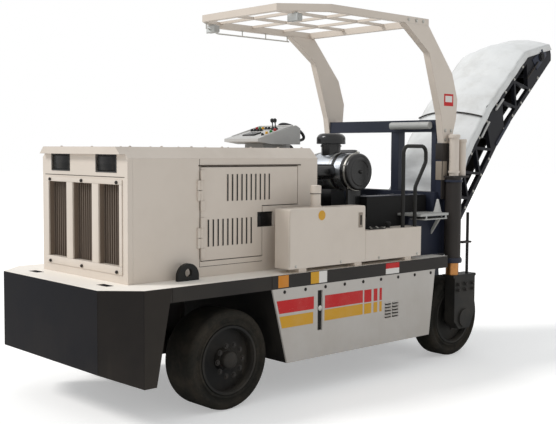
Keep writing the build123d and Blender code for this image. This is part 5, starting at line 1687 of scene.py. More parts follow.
    def _roof(self) -> None:
        """Cross seams and the hood's roof bolts."""
        seams, z = Shape(), self.roof_z
        half = self.roof_half
        lines = [(aft, aft + 4, -half, half, z - 0.6, z + 0.8) for aft in self.roof_seams]
        self.boxes(seams, lines)
        self.add(seams, "hood_roof_seams", "seam_film", "cream_paint")
        rows = (-self.roof_bolt_y, self.roof_bolt_y)
        seats = [(self.at(aft, y, z), UP) for aft in self.roof_bolts for y in rows]
        self.bolts("hood_roof_bolts", seats, 8, "cream_paint")

    def _side_seams(self, side: Side) -> None:
        """Gutter over the door and the hood's upright and level seams.

        Args:
            side: The machine's side.
        """
        inner, outer = (self.half + shift for shift in self.seam_y)
        gutter, seams = Shape(), Shape()
        proud = self.half + self.gutter_proud
        self.boxes(gutter, [(*self.gutter_aft, inner, proud, *self.gutter_z)], 0.001, side)
        self.add(gutter, f"{side.word}_door_gutter", "seam_film", "cream_paint")
        self.boxes(seams, [(*aft, inner, outer, *z) for aft, z in self.seam_lines], 0.0, side)
        self.add(seams, f"{side.word}_hood_seams", "seam_film", "cream_paint")

    def _door(self, side: Side) -> None:
        """Louvre lips, near-black plates of painted shade behind the louvre slots and latch of one
        door, and a near-black plate of painted shade in the intake beside it.

        Args:
            side: The machine's side.
        """
        body, y = f"{side.word}_hood_door", self.half
        for bank, front, middle in self.banks:
            foot, lip = middle - self.louvre_half, Shape()
            outline = [self.at(front + aft, y + out, foot, side) for aft, out in self.lip_section]
            lip.prism(outline, UP * (2 * self.louvre_half * MM), 0.001)
            step = FORWARD * (-self.louvre_pitch * MM)
            name = f"{side.word}_{bank}_louvres"
            self.row(name, lip, self.louvres, step, "cream_paint", "cream_paint", body)
        slot_shade, latch, intake = Shape(), Shape(), Shape()
        inner = y - self.recess
        # Painted shade: near-black plates that show through the louvre slots.
        spans = [(*aft, y - self.back_sunk, inner - 3, *z) for aft, z in self.backs]
        self.boxes(slot_shade, spans, 0.001, side)
        self.add(slot_shade, f"{side.word}_louvre_backing", "dark_film", "cream_paint", body)
        self.boxes(latch, [(*self.latch_aft, inner, inner + 4, *self.notch_z)], 0.001, side)
        self.boxes(latch, [(*self.grip_aft, inner, y - 2, *self.grip_z)], 0.005, side)
        self.add(latch, f"{side.word}_door_latch", "black_plastic", "black_paint", body)
        # Painted shade: a near-black plate in the intake notch.
        self.boxes(intake, [(*self.intake_aft, inner, inner - 4, *self.notch_z)], 0.001, side)
        self.add(intake, f"{side.word}_intake_floor", "dark_film", "cream_paint")


@dataclass
class Tanks(Assembly):
    """Side tanks: fillers, vents, gauge, hatch, seams and the round sticker."""

    side_y: float = 850.0
    low_z: float = 1200.0
    middle_y: float = 766.0
    filler: tuple[float, float, float] = (1878.0, 732.0, 1400.0)
    sticker: tuple[float, float] = (1828.0, 1343.0)
    sticker_form: Profile = ((0, 0), (0, 0.037), (0.0013, 0.037), (0.0013, 0))
    dome_form: Profile = (
        (0.152, 0), (0.152, 0.04), (0.156, 0.0425), (0.161, 0.041), (0.165, 0.032), (0.167, 0),
    )
    collar_form: Profile = ((0.0, 0), (0.0, 0.048), (0.006, 0.048), (0.01, 0.04), (0.01, 0))
    seam_form: Profile = ((0.099, 0), (0.099, 0.0432), (0.104, 0.0432), (0.104, 0))
    breather_form: Profile = (
        (0, 0), (0, 0.018), (0.022, 0.018), (0.028, 0.026), (0.044, 0.026), (0.05, 0.018),
        (0.05, 0),
    )
    strap_afts: tuple[float, ...] = (1560, 2040, 2480, 2960)
    strap_z: float = 975.0
    gauge: Box = (2236, 2279, 0, 5, 1230, 1347)
    gauge_pane: Box = (2250, 2265, 0, 8, 1250, 1327)
    hatch_aft: Span = (2420.0, 2600.0)
    hatch_bolts: tuple[float, ...] = (2434, 2510, 2586)
    breather_aft: float = 2680.0
    seams: tuple[tuple[float, ...], ...] = (
        (1499, 1, 975, 1384, 0.002),
        (2321, 0.5, 962, 1196, 0.0028),
    )

    def build(self) -> None:
        """Dresses both tanks."""
        sticker, (aft, z) = Shape(), self.sticker
        sticker.lathe(self.sticker_form, self.at(aft, self.side_y, z), LEFTWARD)
        self.add(sticker, "tank_round_sticker", "yellow_film", "cream_paint")
        for side in Side:
            self._filler(side)
            self._fittings(side)

    def _filler(self, side: Side) -> None:
        """Domed top of the filler cap, its seam and the collar on the tank.

        Args:
            side: The machine's side.
        """
        middle = self.at(*self.filler, side)
        cap, band = Shape(), Shape()
        cap.lathe(self.dome_form, middle, UP).lathe(self.collar_form, middle, UP)
        self.add(cap, f"{side.word}_filler_cap", "cream_paint")
        band.lathe(self.seam_form, middle, UP)
        self.add(band, f"{side.word}_filler_seam", "dark_steel", "cream_paint")

    def _fittings(self, side: Side) -> None:
        """Sight gauge, hatch, breather, weld seams and bolts.

        Args:
            side: The machine's side.
        """
        y, middle, low = self.side_y, self.middle_y, self.low_z
        top = low + 9
        gauge, glass, hatch, seam = Shape(), Shape(), Shape(), Shape()
        self.boxes(gauge, [shifted(self.gauge, y)], 0.002, side)
        self.add(gauge, f"{side.word}_tank_gauge", "tan_plastic", "grey_paint")
        self.boxes(glass, [shifted(self.gauge_pane, y)], 0.003, side)
        self.add(glass, f"{side.word}_gauge_glass", "lamp_glass")
        self.boxes(hatch, [(*self.hatch_aft, middle - 52, middle + 52, low, top)], 0.003, side)
        hatch.lathe(self.breather_form, self.at(self.breather_aft, middle, low, side), UP, 28)
        self.add(hatch, f"{side.word}_tank_hatch", "black_paint")
        across = side.value * middle
        seats = [
            (self.at(aft, across + shift, top), UP)
            for aft in self.hatch_bolts
            for shift in (-40, 40)
        ]
        self.bolts(f"{side.word}_hatch_bolts", seats, 7, slot="machined_steel")
        for aft, sunk, foot, head, radius in self.seams:
            self.rod(seam, (aft, y - sunk, foot), (aft, y - sunk, head), radius, 8, side)
        self.add(seam, f"{side.word}_tank_seams", "cream_paint")
        straps = [(self.at(aft, y, self.strap_z, side), side.out) for aft in self.strap_afts]
        self.bolts(f"{side.word}_tank_bolts", straps, 8)


def tyre_profile(half: float, outer: float, bore: float) -> list[tuple[float, float]]:
    """Section of a solid tyre: bead, stepped sidewall, shoulders and plain tread.

    Args:
        half: Half the width in metres.
        outer: Radius of the tread.
        bore: Radius of the bore.

    Returns:
        Distances along and from the axle, closed.
    """
    bead = [(0.012, 0.0), (0.002, 0.008), (0.002, 0.022), (0.010, 0.028)]
    wall = [(0.012, 0.062), (0.004, 0.054), (0.0005, 0.046), (0.0005, 0.034)]
    shoulder = [(0.006, 0.020), (0.014, 0.009), (0.026, 0.002), (0.040, 0.0)]
    side = [(half - sunk, bore + rise) for sunk, rise in bead]
    side += [(half - sunk, outer - drop) for sunk, drop in wall + shoulder]
    other = [(-along, radius) for along, radius in reversed(side)]
    return side + other + [side[0]]


def outer_face(node: str, side: Side) -> float:
    """Y of a node's face on the machine's outside."""
    low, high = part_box(node)
    return high.y if side is Side.LEFT else low.y


@dataclass
class RunningGear(Assembly):
    """Solid tyres, rims' nuts and hubs, front axle fittings and rear legs."""

    radius: float = 355.5
    bore: float = 245.3
    front: tuple[float, float, float] = (977.0, 647.5, 152.5)
    rear: tuple[float, float, float] = (3632.0, 632.5, 102.5)
    nuts: int = 10
    nut_circle: float = 0.112
    hub_form: Profile = (
        (-0.03, 0.062), (0.004, 0.062), (0.012, 0.058), (0.02, 0.045), (0.024, 0.02), (0.0245, 0),
    )
    flange_form: Profile = (
        (-0.03, 0.222), (-0.002, 0.222), (0.004, 0.226), (0.004, 0.236), (-0.004, 0.24),
        (-0.03, 0.24), (-0.03, 0.222),
    )
    cylinder_form: Profile = (
        (-0.2, 0), (-0.2, 0.034), (-0.19, 0.038), (0.19, 0.038), (0.2, 0.034), (0.2, 0),
    )
    axle_z: float = 330.0
    eye_y: float = 150.0
    rod_reach: float = 290.0
    leg_aft: float = 3530.0
    leg_y: float = 785.0
    small_cap_back: float = 115.0
    fork_bolt_afts: tuple[float, ...] = (3530, 3632, 3735)
    fork_bolt_z: Span = (660, 610)
    foot_form: Profile = (
        (0, 0.0575), (0, 0.08), (0.014, 0.084), (0.03, 0.084), (0.044, 0.078), (0.044, 0.071),
    )
    ring_form: Profile = ((0, 0.0702), (0, 0.079), (0.016, 0.079), (0.02, 0.0702))
    cap_form: Profile = ((0, 0.0433), (0, 0.052), (0.024, 0.052), (0.032, 0.046), (0.032, 0))
    small_cap_form: Profile = ((0, 0.0343), (0, 0.041), (0.02, 0.041), (0.028, 0.036), (0.028, 0))
    band_form: Profile = ((0, 0.0433), (0, 0.05), (0.02, 0.05), (0.02, 0.0433))

    def build(self) -> None:
        """Makes the tyres and dresses the wheels, axle and legs."""
        for side in Side:
            self._wheel(f"front_{side.word}", side, *self.front)
            self._wheel(f"rear_{side.word}", side, *self.rear)
            self._leg(side)
        self._axle()

    def _wheel(self, name: str, side: Side, aft: float, y: float, half: float) -> None:
        """Tyre, nuts and hub cap of one wheel.

        Args:
            name: Name of the wheel.
            side: The machine's side.
            aft: Millimetres behind the nose.
            y: Millimetres from the middle.
            half: Half the width in millimetres.
        """
        body = f"{name}_wheel"
        centre = self.at(aft, y, self.radius, side)
        tyre, cap = Shape(), Shape()
        section = tyre_profile(half * MM, self.radius * MM, self.bore * MM)
        tyre.lathe(section, centre, side.out, 96)
        rubber = self.add(tyre, f"{name}_solid_tyre", "solid_rubber", body=body, smooth=0.9)
        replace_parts(rubber, f"{name}_tyre")
        hub_face = Vector((centre.x, outer_face(f"{name}_rim", side), centre.z))
        cap.lathe(self.hub_form, hub_face, side.out, 40)
        cap.lathe(self.flange_form, centre + side.out * ((half - 16) * MM), side.out, 64)
        self.add(cap, f"{name}_hub_cap", "rim_paint", body=body)
        seats = []
        for number in range(self.nuts):
            turn = math.tau * number / self.nuts
            reach = Vector((math.cos(turn), 0, math.sin(turn))) * self.nut_circle
            seats.append((hub_face + reach, side.out))
        self.bolts(f"{name}_wheel_nuts", seats, 14, "dark_steel", "rim_paint", body)

    def _axle(self) -> None:
        """Steering cylinder and its eyes on the front axle's rear face."""
        shape, rod = Shape(), Shape()
        z, front = self.axle_z, self.front[0] + 57
        aft = front + 17
        shape.lathe(self.cylinder_form, self.at(aft, 0, z), LEFTWARD, 36)
        eyes = [(front, aft, y - 14, y + 14, z - 30, z + 30) for y in (-self.eye_y, self.eye_y)]
        self.boxes(shape, eyes, 0.004)
        self.rod(rod, (aft, -self.rod_reach, z), (aft, self.rod_reach, z), 0.016, 24)
        self.add(shape, "steering_cylinder", "black_paint")
        self.add(rod, "steering_rod", "rod_chrome")

    def _leg(self, side: Side) -> None:
        """Collars, caps and fork bolts of one rear leg.

        Args:
            side: The machine's side.
        """
        fixed, caps = Shape(), Shape()
        for shape, form, aft, z, steps in (
            (fixed, self.foot_form, self.leg_aft, 852, 48),
            (fixed, self.ring_form, self.leg_aft, 1560, 48),
            (caps, self.cap_form, self.leg_aft, 1945, 36),
            (caps, self.small_cap_form, self.leg_aft + self.small_cap_back, 1908, 36),
            (caps, self.band_form, self.leg_aft, 1640, 36),
        ):
            shape.lathe(form, self.at(aft, self.leg_y, z, side), UP, steps)
        self.add(fixed, f"{side.word}_column_collar", "navy_paint")
        self.add(caps, f"{side.word}_cylinder_caps", "cream_paint")
        y = abs(outer_face(f"{side.word}_fork", side)) / MM
        seats = [
            (self.at(aft, y, z, side), side.out)
            for aft in self.fork_bolt_afts
            for z in self.fork_bolt_z
        ]
        word = side.word
        self.bolts(f"{word}_fork_bolts", seats, 13, "dark_steel", "ballast_paint", f"{word}_leg")


@dataclass
class Operator(Assembly):
    """Operator's place: console, wheel, seat, air cleaner, treads, cone and lids."""

    console_y: float = -300.0
    wheel_tilt: float = 35.0
    wheel_radius: float = 135.0
    wheel_z: float = 1990.0
    hub_form: Profile = (
        (-0.022, 0), (-0.022, 0.024), (-0.004, 0.03), (0.006, 0.026), (0.01, 0.012), (0.0105, 0),
    )
    panel_front: tuple[float, float] = (2045.0, 1933.0)
    panel_rear: tuple[float, float] = (2430.0, 2044.0)
    panel_aft: float = 2240.0
    edge_half: Span = (170.0, 205.0)
    screen: tuple[Span, ...] = ((60, -90), (60, 60), (150, 60), (150, -90))
    buttons: tuple[tuple[str, tuple[Span, ...]], ...] = (
        ("red", ((-20, 150), (-80, -150))),
        ("green", ((-80, -110), (30, 150))),
        ("yellow", ((-80, -70), (80, 150))),
        (
            "black",
            ((-20, -150), (-20, -110), (-20, -70), (-20, -30), (-80, -30), (-80, 10), (130, 150)),
        ),
    )
    button_form: Profile = (
        (0, 0), (0, 0.015), (0.006, 0.015), (0.007, 0.011), (0.017, 0.011), (0.019, 0.008),
        (0.0195, 0),
    )
    boot_form: Profile = ((0, 0), (0, 0.022), (0.012, 0.018), (0.022, 0.009), (0.022, 0))
    knob_form: Profile = (
        (-0.02, 0), (-0.018, 0.009), (-0.008, 0.0155), (0.006, 0.017), (0.016, 0.011), (0.02, 0),
    )
    cleaner: tuple[float, float] = (2523.0, 1656.0)
    cleaner_radius: float = 0.152
    cleaner_bands: tuple[Span, ...] = ((148, 14), (366, 10), (548, 16))
    drum_span: Span = (166.0, 340.0)
    cleaner_end: float = 600.0
    latch_turns: tuple[float, ...] = (0.35, 1.6, 2.85, 4.1, 5.35)
    end_form: Profile = ((0, 0.09), (0.006, 0.094), (0.006, 0.112), (0, 0.118))
    stud_form: Profile = ((0, 0.016), (0.012, 0.014), (0.02, 0.008), (0.02, 0))
    rim_form: Profile = (
        (-0.006, 0.084), (-0.006, 0.12), (-0.001, 0.1235), (0.004, 0.1235), (0.004, 0.1215),
    )
    neck_form: Profile = ((-0.03, 0.082), (-0.03, 0.088), (-0.014, 0.088), (-0.014, 0.082))
    clamp_form: Profile = ((0, 0.0625), (0, 0.068), (0.014, 0.068), (0.014, 0.0625))
    tread_form: Profile = ((-0.016, 0), (-0.012, 0.0035), (0, 0.005), (0.012, 0.0035), (0.016, 0))
    cone_form: Profile = (
        (0, 0), (0, 0.038), (0.006, 0.038), (0.009, 0.033), (0.1, 0.012), (0.11, 0.01),
        (0.114, 0.006), (0.115, 0),
    )

    cone_at: tuple[float, float, float] = (3352.0, 752.0, 1300.4)
    lid_afts: tuple[Span, ...] = ((2612, 2975), (2985, 3360))
    lid_y: Span = (455, 595)
    lid_z: Span = (1445, 1451)
    hinge_afts: tuple[float, ...] = (2700, 2890, 3060, 3290)
    hinge_at: Span = (457, 1454)
    hinge_length: float = 50.0
    flange: tuple[float, ...] = (3060, 3368, 684, 846, 1248, 1258)
    rib_afts: Span = (3075, 3340)
    treads: tuple[tuple[str, str, Point, Span, tuple[int, int]], ...] = (
        ("platform_tread", "black_paint", (2720, 0, 1280), (1.28, 0.86), (27, 18)),
        ("left_step_tread", "grey_paint", (3190, 728, 1300), (0.33, 0.2), (8, 5)),
        ("right_step_tread", "grey_paint", (3190, -728, 1300), (0.33, 0.2), (8, 5)),
    )
    pedestal: tuple[Span, ...] = ((2935, 115), (2975, 100), (3145, 100), (3185, 115))
    pedestal_z: Span = (1300.0, 1520.0)
    seat_plate: Box = (2915, 3205, -135, 135, 1282, 1300)
    seat_slides: tuple[Box, ...] = (
        (2890, 3230, -136, -104, 1520, 1548),
        (2890, 3230, 104, 136, 1520, 1548),
    )
    seat_pan: Box = (2868, 3265, -205, 205, 1548, 1572)
    console_foot: Box = (2140, 2340, -126, 126, 1282, 1300)
    seat_back: tuple[Span, ...] = ((3262, 1560), (3272, 1820), (3288, 1820), (3280, 1560))

    def build(self) -> None:
        """Makes and dresses everything on the platform."""
        self._steering_wheel()
        self._console()
        self._seat()
        self._cleaner()
        self._treads()
        self._cone()
        self._platform()

    def _steering_wheel(self) -> None:
        """Round rim, three spokes and a hub."""
        tilt = math.radians(self.wheel_tilt)
        aft = 2480 + self.wheel_radius * math.cos(tilt)
        centre = self.at(aft, self.console_y, self.wheel_z)
        axis = Vector((-math.sin(tilt), 0, math.cos(tilt)))
        upward = axis.cross(LEFTWARD)
        rim_radius = (self.wheel_radius - 13) * MM

        def way(turn: float) -> Vector:
            """Direction across the wheel."""
            return LEFTWARD * math.cos(turn) + upward * math.sin(turn)

        wheel = Shape()
        ring = [centre + way(math.tau * step / 72) * rim_radius for step in range(72)]
        wheel.ring_frame(ring, 0.013, 14, True)
        for spoke in range(3):
            out = way(math.tau * spoke / 3 + math.pi / 2)
            line = [out * 0.02 - axis * 0.012, out * 0.07 - axis * 0.008, out * rim_radius]
            wheel.pipe([centre + reach for reach in line], 0.0075, 0.03, 10)
        wheel.lathe(self.hub_form, centre, axis, 32)
        made = self.add(wheel, "steering_ring", "black_plastic", "black_paint")
        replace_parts(made, "steering_wheel")

    def _console(self) -> None:
        """Screen, switches, lamps, two levers and the panel's edge."""
        (front, low), (rear, high) = self.panel_front, self.panel_rear
        along = (self.at(rear, 0, high) - self.at(front, 0, low)).normalized()
        up = LEFTWARD.cross(along).normalized()
        if up.z < 0:
            up = -up
        origin = self.at(self.panel_aft, self.console_y, self.wheel_z)

        def spot(forward: float, left: float, lift: float) -> Vector:
            """Point on the sloping panel, in millimetres."""
            return origin + (LEFTWARD * left - along * forward + up * lift) * MM

        surround, screen, levers, foot = Shape(), Shape(), Shape(), Shape()
        reach, half = self.edge_half
        for ends in (((-reach, -half), (reach, -half)), ((-reach, half), (reach, half))):
            surround.bar(*(spot(*end, 2) for end in ends), 0.008, 10)
        surround.bar(spot(-reach, -half, 2), spot(-reach, half, 2), 0.008, 10)
        self.add(surround, "console_edge", "grey_plastic", "grey_paint")
        screen.prism([spot(*corner, 1) for corner in self.screen], up * 0.012, 0.003)
        self.add(screen, "console_screen", "lamp_glass")
        for colour, places in self.buttons:
            buttons = Shape()
            for forward, left in places:
                buttons.lathe(self.button_form, spot(forward, left, 0.5), up, 24)
            self.add(buttons, f"console_{colour}_buttons", f"{colour}_plastic", "black_paint")
        for left in (80, 115):
            levers.lathe(self.boot_form, spot(-60, left, 0.5), up, 24)
            levers.bar(spot(-60, left, 8), spot(-70, left, 70), 0.005, 12)
            levers.lathe(self.knob_form, spot(-71, left, 78), up, 24)
        self.add(levers, "console_levers", "black_plastic", "black_paint")
        self.boxes(foot, [shifted(self.console_foot, self.console_y)], 0.006)
        self.add(foot, "pedestal_foot", "black_plastic", "black_paint")

    def _cushion(self, name: str, centre: Vector, spread: Vector, thick: int) -> bpy.types.Object:
        """Crowned cushion with pulled-in sides and sewn channels.

        Args:
            name: Name of the piece.
            centre: Its middle.
            spread: Its full size along X, Y and Z.
            thick: Number of the axis of its thickness.

        Returns:
            The cushion.
        """
        mesh = bmesh.new()
        bmesh.ops.create_cube(mesh, size=2.0)
        bmesh.ops.subdivide_edges(mesh, edges=mesh.edges[:], cuts=19, use_grid_fill=True)
        flat = [axis for axis in range(3) if axis != thick]
        for vertex in mesh.verts:
            first, second, rise = (vertex.co[axis] for axis in (*flat, thick))
            pull = 1 - 0.06 * (1 - abs(first * second)) * (1 - rise * rise)
            rim = (1 - first**6) * (1 - second**6)
            height = rise * (0.62 + 0.38 * max(rim, 0.0) ** 0.5)
            if rise > 0:
                for channel in (-0.42, 0.0, 0.42):
                    height -= 0.1 * math.exp(-(((second - channel) / 0.035) ** 2)) * rim
            corner = 1 - 0.09 * (abs(first) ** 8 * abs(second) ** 8)
            share = (0.94 + 0.06 * (1 - rise**4)) * corner * pull
            vertex.co[flat[0]] = first * share
            vertex.co[flat[1]] = second * share
            vertex.co[thick] = height
            vertex.co[thick] += noise.noise(vertex.co * 5.0) * 0.012
            vertex.co = centre + vertex.co * spread / 2
        bmesh.ops.recalc_face_normals(mesh, faces=mesh.faces[:])
        data = bpy.data.meshes.new(name)
        mesh.to_mesh(data)
        mesh.free()
        data.materials.append(self.finishes["seat_vinyl"])
        return settle(name, data, "chassis", math.pi)

    def _seat(self) -> None:
        """Padded seat and back on a pedestal with slides."""
        y = self.console_y
        base = Shape()
        self.boxes(base, [shifted(self.seat_plate, y)], 0.004)
        low, high = self.pedestal_z
        corners = zip(self.pedestal, (low, high, high, low))
        outline = [self.at(aft, y - half, z) for (aft, half), z in corners]
        base.prism(outline, LEFTWARD * 0.23, 0.012)
        self.boxes(base, [shifted(slide, y) for slide in self.seat_slides], 0.004)
        self.boxes(base, [shifted(self.seat_pan, y)], 0.008)
        outline = [self.at(aft, y - 190, z) for aft, z in self.seat_back]
        base.prism(outline, LEFTWARD * 0.38, 0.005)
        self.add(base, "seat_pedestal", "black_plastic", "black_paint")
        seat = self._cushion("seat_cushion", self.at(3050, y, 1628), Vector((0.4, 0.44, 0.11)), 2)
        rest = self._cushion("seat_backrest", self.at(3232, y, 1740), Vector((0.08, 0.43, 0.2)), 0)
        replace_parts(seat, "seat")

    def _cleaner(self) -> None:
        """Bands, bright drum, end cover, latches, cap rim and clamp of the air cleaner."""
        (aft, z), radius = self.cleaner, self.cleaner_radius
        bands, drum, cover, latches, cap, clamp = (Shape() for _ in range(6))
        for shape, spans, sunk, proud in (
            (bands, self.cleaner_bands, 0.004, 0.004),
            (drum, (self.drum_span,), 0.002, 0.0015),
        ):
            for y, width in spans:
                low, high, end = radius - sunk, radius + proud, width * MM
                sleeve = [(0, low), (0, high), (end, high), (end, low)]
                shape.lathe(sleeve, self.at(aft, y, z), LEFTWARD, 72)
        self.add(bands, "cleaner_bands", "bright_zinc", "machined_steel")
        self.add(drum, "cleaner_drum", "drum_gloss", "cleaner_paint")
        face = self.at(aft, self.cleaner_end, z)
        cover.lathe(self.end_form, face, LEFTWARD, 64).lathe(self.stud_form, face, LEFTWARD, 24)
        self.add(cover, "cleaner_end", "cleaner_paint")
        for turn in self.latch_turns:
            way = Vector((math.cos(turn), 0, math.sin(turn)))
            start = self.at(aft, 540, z) + way * (radius + 0.004)
            ends = [start + way * 0.012 + LEFTWARD * 0.015, start + way * 0.002 + LEFTWARD * 0.035]
            latches.pipe([start, *ends], 0.0035, 0.008, 8)
        self.add(latches, "cleaner_latches", "bright_zinc", "machined_steel")
        centre = self.at(aft, 261, 1890)
        cap.lathe(self.rim_form, centre, UP, 64).lathe(self.neck_form, centre, UP, 64)
        self.add(cap, "cleaner_cap_rim", "cleaner_paint")
        clamp.lathe(self.clamp_form, self.at(2110, 400, z), -FORWARD, 48)
        self.add(clamp, "intake_clamp", "bright_zinc", "machined_steel")

    def _treads(self) -> None:
        """Raised tread bars on the platform floor and the step plates."""
        for name, finish, place, size, counts in self.treads:
            bar = Shape()
            bar.lathe(self.tread_form, Vector((0, 0, 0)), Vector((1, 1, 0)).normalized(), 8)
            for vertex in bar.mesh.verts:
                vertex.co.z = max(vertex.co.z * 0.5, -0.0004)
            values = {
                "Length": size[0],
                "Width": size[1],
                "Along": counts[0],
                "Across": counts[1],
                "Place": tuple(self.at(*place) + UP * 0.0003),
                "Finish": self.finishes[finish],
            }
            self.trees.tread.apply(name, bar.mesh_data(name + "_bar"), values, "chassis", finish)

    def _cone(self) -> None:
        """Pale cone on the left step, with its brim."""
        cone = Shape()
        cone.lathe(self.cone_form, self.at(*self.cone_at), UP, 40)
        self.add(cone, "step_cone", "grey_plastic", "grey_paint")

    def _platform(self) -> None:
        """Box lids with hinges, and the flanges below the steps."""
        lids, flanges = Shape(), Shape()
        for side in Side:
            covers = [(*aft, *self.lid_y, *self.lid_z) for aft in self.lid_afts]
            self.boxes(lids, covers, 0.003, side)
            y, z = self.hinge_at
            for aft in self.hinge_afts:
                self.rod(lids, (aft, y, z), (aft + self.hinge_length, y, z), 0.005, 10, side)
            self.boxes(flanges, [self.flange], 0.002, side)
            ribs = [(aft, aft + 20, 846, 840, 1258, 1280) for aft in self.rib_afts]
            self.boxes(flanges, ribs, 0.001, side)
        self.add(lids, "side_box_lids", "navy_paint")
        self.add(flanges, "step_flanges", "grey_paint")


@dataclass
class RearKit(Assembly):
    """Trim of the rear frame: tube on the back rail, post feet and side uprights."""

    post_y: float = 690.0
    tube_y: Span = (160.0, 606.0)
    tube_at: tuple[float, float] = (3414.0, 2056.0)
    tube_radius: float = 0.032
    saddle_rear: float = 3451.0
    foot: Box = (3437, 3573, -38, 38, 1755, 1896)
    outer_plate: Box = (3446, 3506, 35, 38, 1578, 1742)
    front_plate: Box = (3436, 3440, -32, 34, 1578, 1742)
    upright: Box = (3441, 3462, 603, 652, 1470, 2000)

    def build(self) -> None:
        """Dresses the rear frame."""
        self._tube()
        for side in Side:
            self._post_foot(side)

    def _tube(self) -> None:
        """Pale tube on saddles along the left part of the back rail."""
        aft, z = self.tube_at
        inner, outer = self.tube_y
        tube = Shape()
        self.rod(tube, (aft, inner, z), (aft, outer, z), self.tube_radius, 32)
        saddle = (aft, self.saddle_rear, -14, 14, -20, 20)
        saddles = [shifted(saddle, y, z) for y in (inner + 60, outer - 60)]
        self.boxes(tube, saddles, 0.002)
        self.add(tube, "back_rail_tube", "grey_paint")

    def _post_foot(self, side: Side) -> None:
        """Box under one canopy post, the plate below it and the upright beside it.

        Args:
            side: The machine's side.
        """
        y = self.post_y
        foot, plate, upright = Shape(), Shape(), Shape()
        self.boxes(foot, [shifted(self.foot, y)], 0.003, side)
        self.boxes(plate, [shifted(self.outer_plate, y)], 0.001, side)
        self.boxes(plate, [shifted(self.front_plate, side.value * y)], 0.001)
        self.boxes(upright, [self.upright], 0.002, side)
        self.add(foot, f"{side.word}_post_foot", "sleeve_paint", "navy_paint")
        self.add(plate, f"{side.word}_post_plate", "tan_plastic", "grey_paint")
        self.add(upright, f"{side.word}_rail_upright", "navy_paint")


@dataclass
class Canopy(Assembly):
    """Open roof: shaped lamps, hanging rail, bolts and a blank sticker."""

    post_y: float = 690.0
    roof_low: float = 2894.0
    lamp_y: float = 505.0
    lamp_parts: tuple[tuple[Box, float], ...] = (
        ((1842, 1890, -58, 58, -74, -12), 0.012),
        ((1834, 1846, -60, 60, -76, -10), 0.005),
        ((1858, 1882, -12, 12, -14, 0), 0.002),
    )
    lamp_fin: Box = (1886, 1892, -50, -46, -68, -18)
    lamp_fins: int = 7
    fin_pitch: float = 16.0
    lamp_pane: Box = (1831, 1838, -53, 53, -69, -17)
    bolt_proud: float = 33.0
    rail_ends: tuple[Span, ...] = ((1760, -450), (2045, -670), (2900, -670))
    hanger_spots: tuple[Span, ...] = (
        (1770, -482), (2045, -688), (2330, -672), (2610, -672), (2880, -672),
    )
    rail_drop: float = 50.0
    flange_form: Profile = ((0, 0.0055), (0, 0.016), (0.005, 0.016), (0.005, 0.0055))
    sticker: tuple[tuple[str, Box], ...] = (
        ("red", (3455, 3585, -0.2, 1.0, 2225, 2330)),
        ("white", (3472, 3568, -0.2, 1.6, 2259, 2313)),
    )
    bolt_spots: tuple[Span, ...] = (
        (3482, 1930), (3480, 2010), (3540, 1930), (3562, 2010), (2960, 2922), (3060, 2922),
        (3150, 2922),
    )

    def build(self) -> None:
        """Dresses the canopy."""
        self._lamps()
        self._rail()
        self._bolts()
        self._sticker()

    def _lamps(self) -> None:
        """Work lamps with housing fins, bezel and clear lens."""
        housing, lens = Shape(), Shape()
        y, low = self.lamp_y, self.roof_low
        for side in Side:
            for part, round_off in self.lamp_parts:
                self.boxes(housing, [shifted(part, y, low)], round_off, side)
            fins = [y + number * self.fin_pitch for number in range(self.lamp_fins)]
            self.boxes(housing, [shifted(self.lamp_fin, fin, low) for fin in fins], 0.0006, side)
            self.boxes(lens, [shifted(self.lamp_pane, y, low)], 0.004, side)
        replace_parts(self.add(housing, "canopy_lamp_housings", "grey_paint"), "canopy_lamps")
        self.add(lens, "canopy_lamp_lenses", "clear_lens", "lamp_glass")

    def _rail(self) -> None:
        """Thin rail on hangers below the roof's right edge."""
        rail = Shape()
        low = self.roof_low - self.rail_drop
        rail.pipe([self.at(*end, low) for end in self.rail_ends], 0.006, 0.05, 10)
        for spot in self.hanger_spots:
            foot = self.at(*spot, self.roof_low)
            rail.bar(foot, foot - UP * (self.rail_drop * MM), 0.005, 10)
            rail.lathe(self.flange_form, foot - UP * 0.005, UP, 20)
        self.add(rail, "canopy_rail", "bright_zinc", "cream_paint")

    def _bolts(self) -> None:
        """Bolts where the posts meet the uprights and the roof."""
        y = self.post_y + self.bolt_proud
        for side in Side:
            seats = [(self.at(aft, y, z, side), side.out) for aft, z in self.bolt_spots]
            self.bolts(f"{side.word}_post_bolts", seats, 11)

    def _sticker(self) -> None:
        """Blank red and white sticker on the left post."""
        for colour, patch in self.sticker:
            shape = self.boxes(Shape(), [shifted(patch, self.post_y + self.bolt_proud)])
            self.add(shape, f"post_sticker_{colour}", f"{colour}_film", "cream_paint")


@dataclass(frozen=True)
class Arch:
    """Flat circular arch over the belt, in metres."""

    chord: float
    height: float

    @property
    def radius(self) -> float:
        """Radius of the arch."""
        return (self.chord**2 + self.height**2) / (2 * self.height)

    @property
    def half_angle(self) -> float:
        """Angle from the crown to one foot."""
        return math.asin(self.chord / self.radius)

    def spot(self, angle: float) -> tuple[float, float]:
        """Distance across and rise above the feet at an angle from the crown."""
        rise = self.radius * math.cos(angle) - (self.radius - self.height)
        return self.radius * math.sin(angle), rise


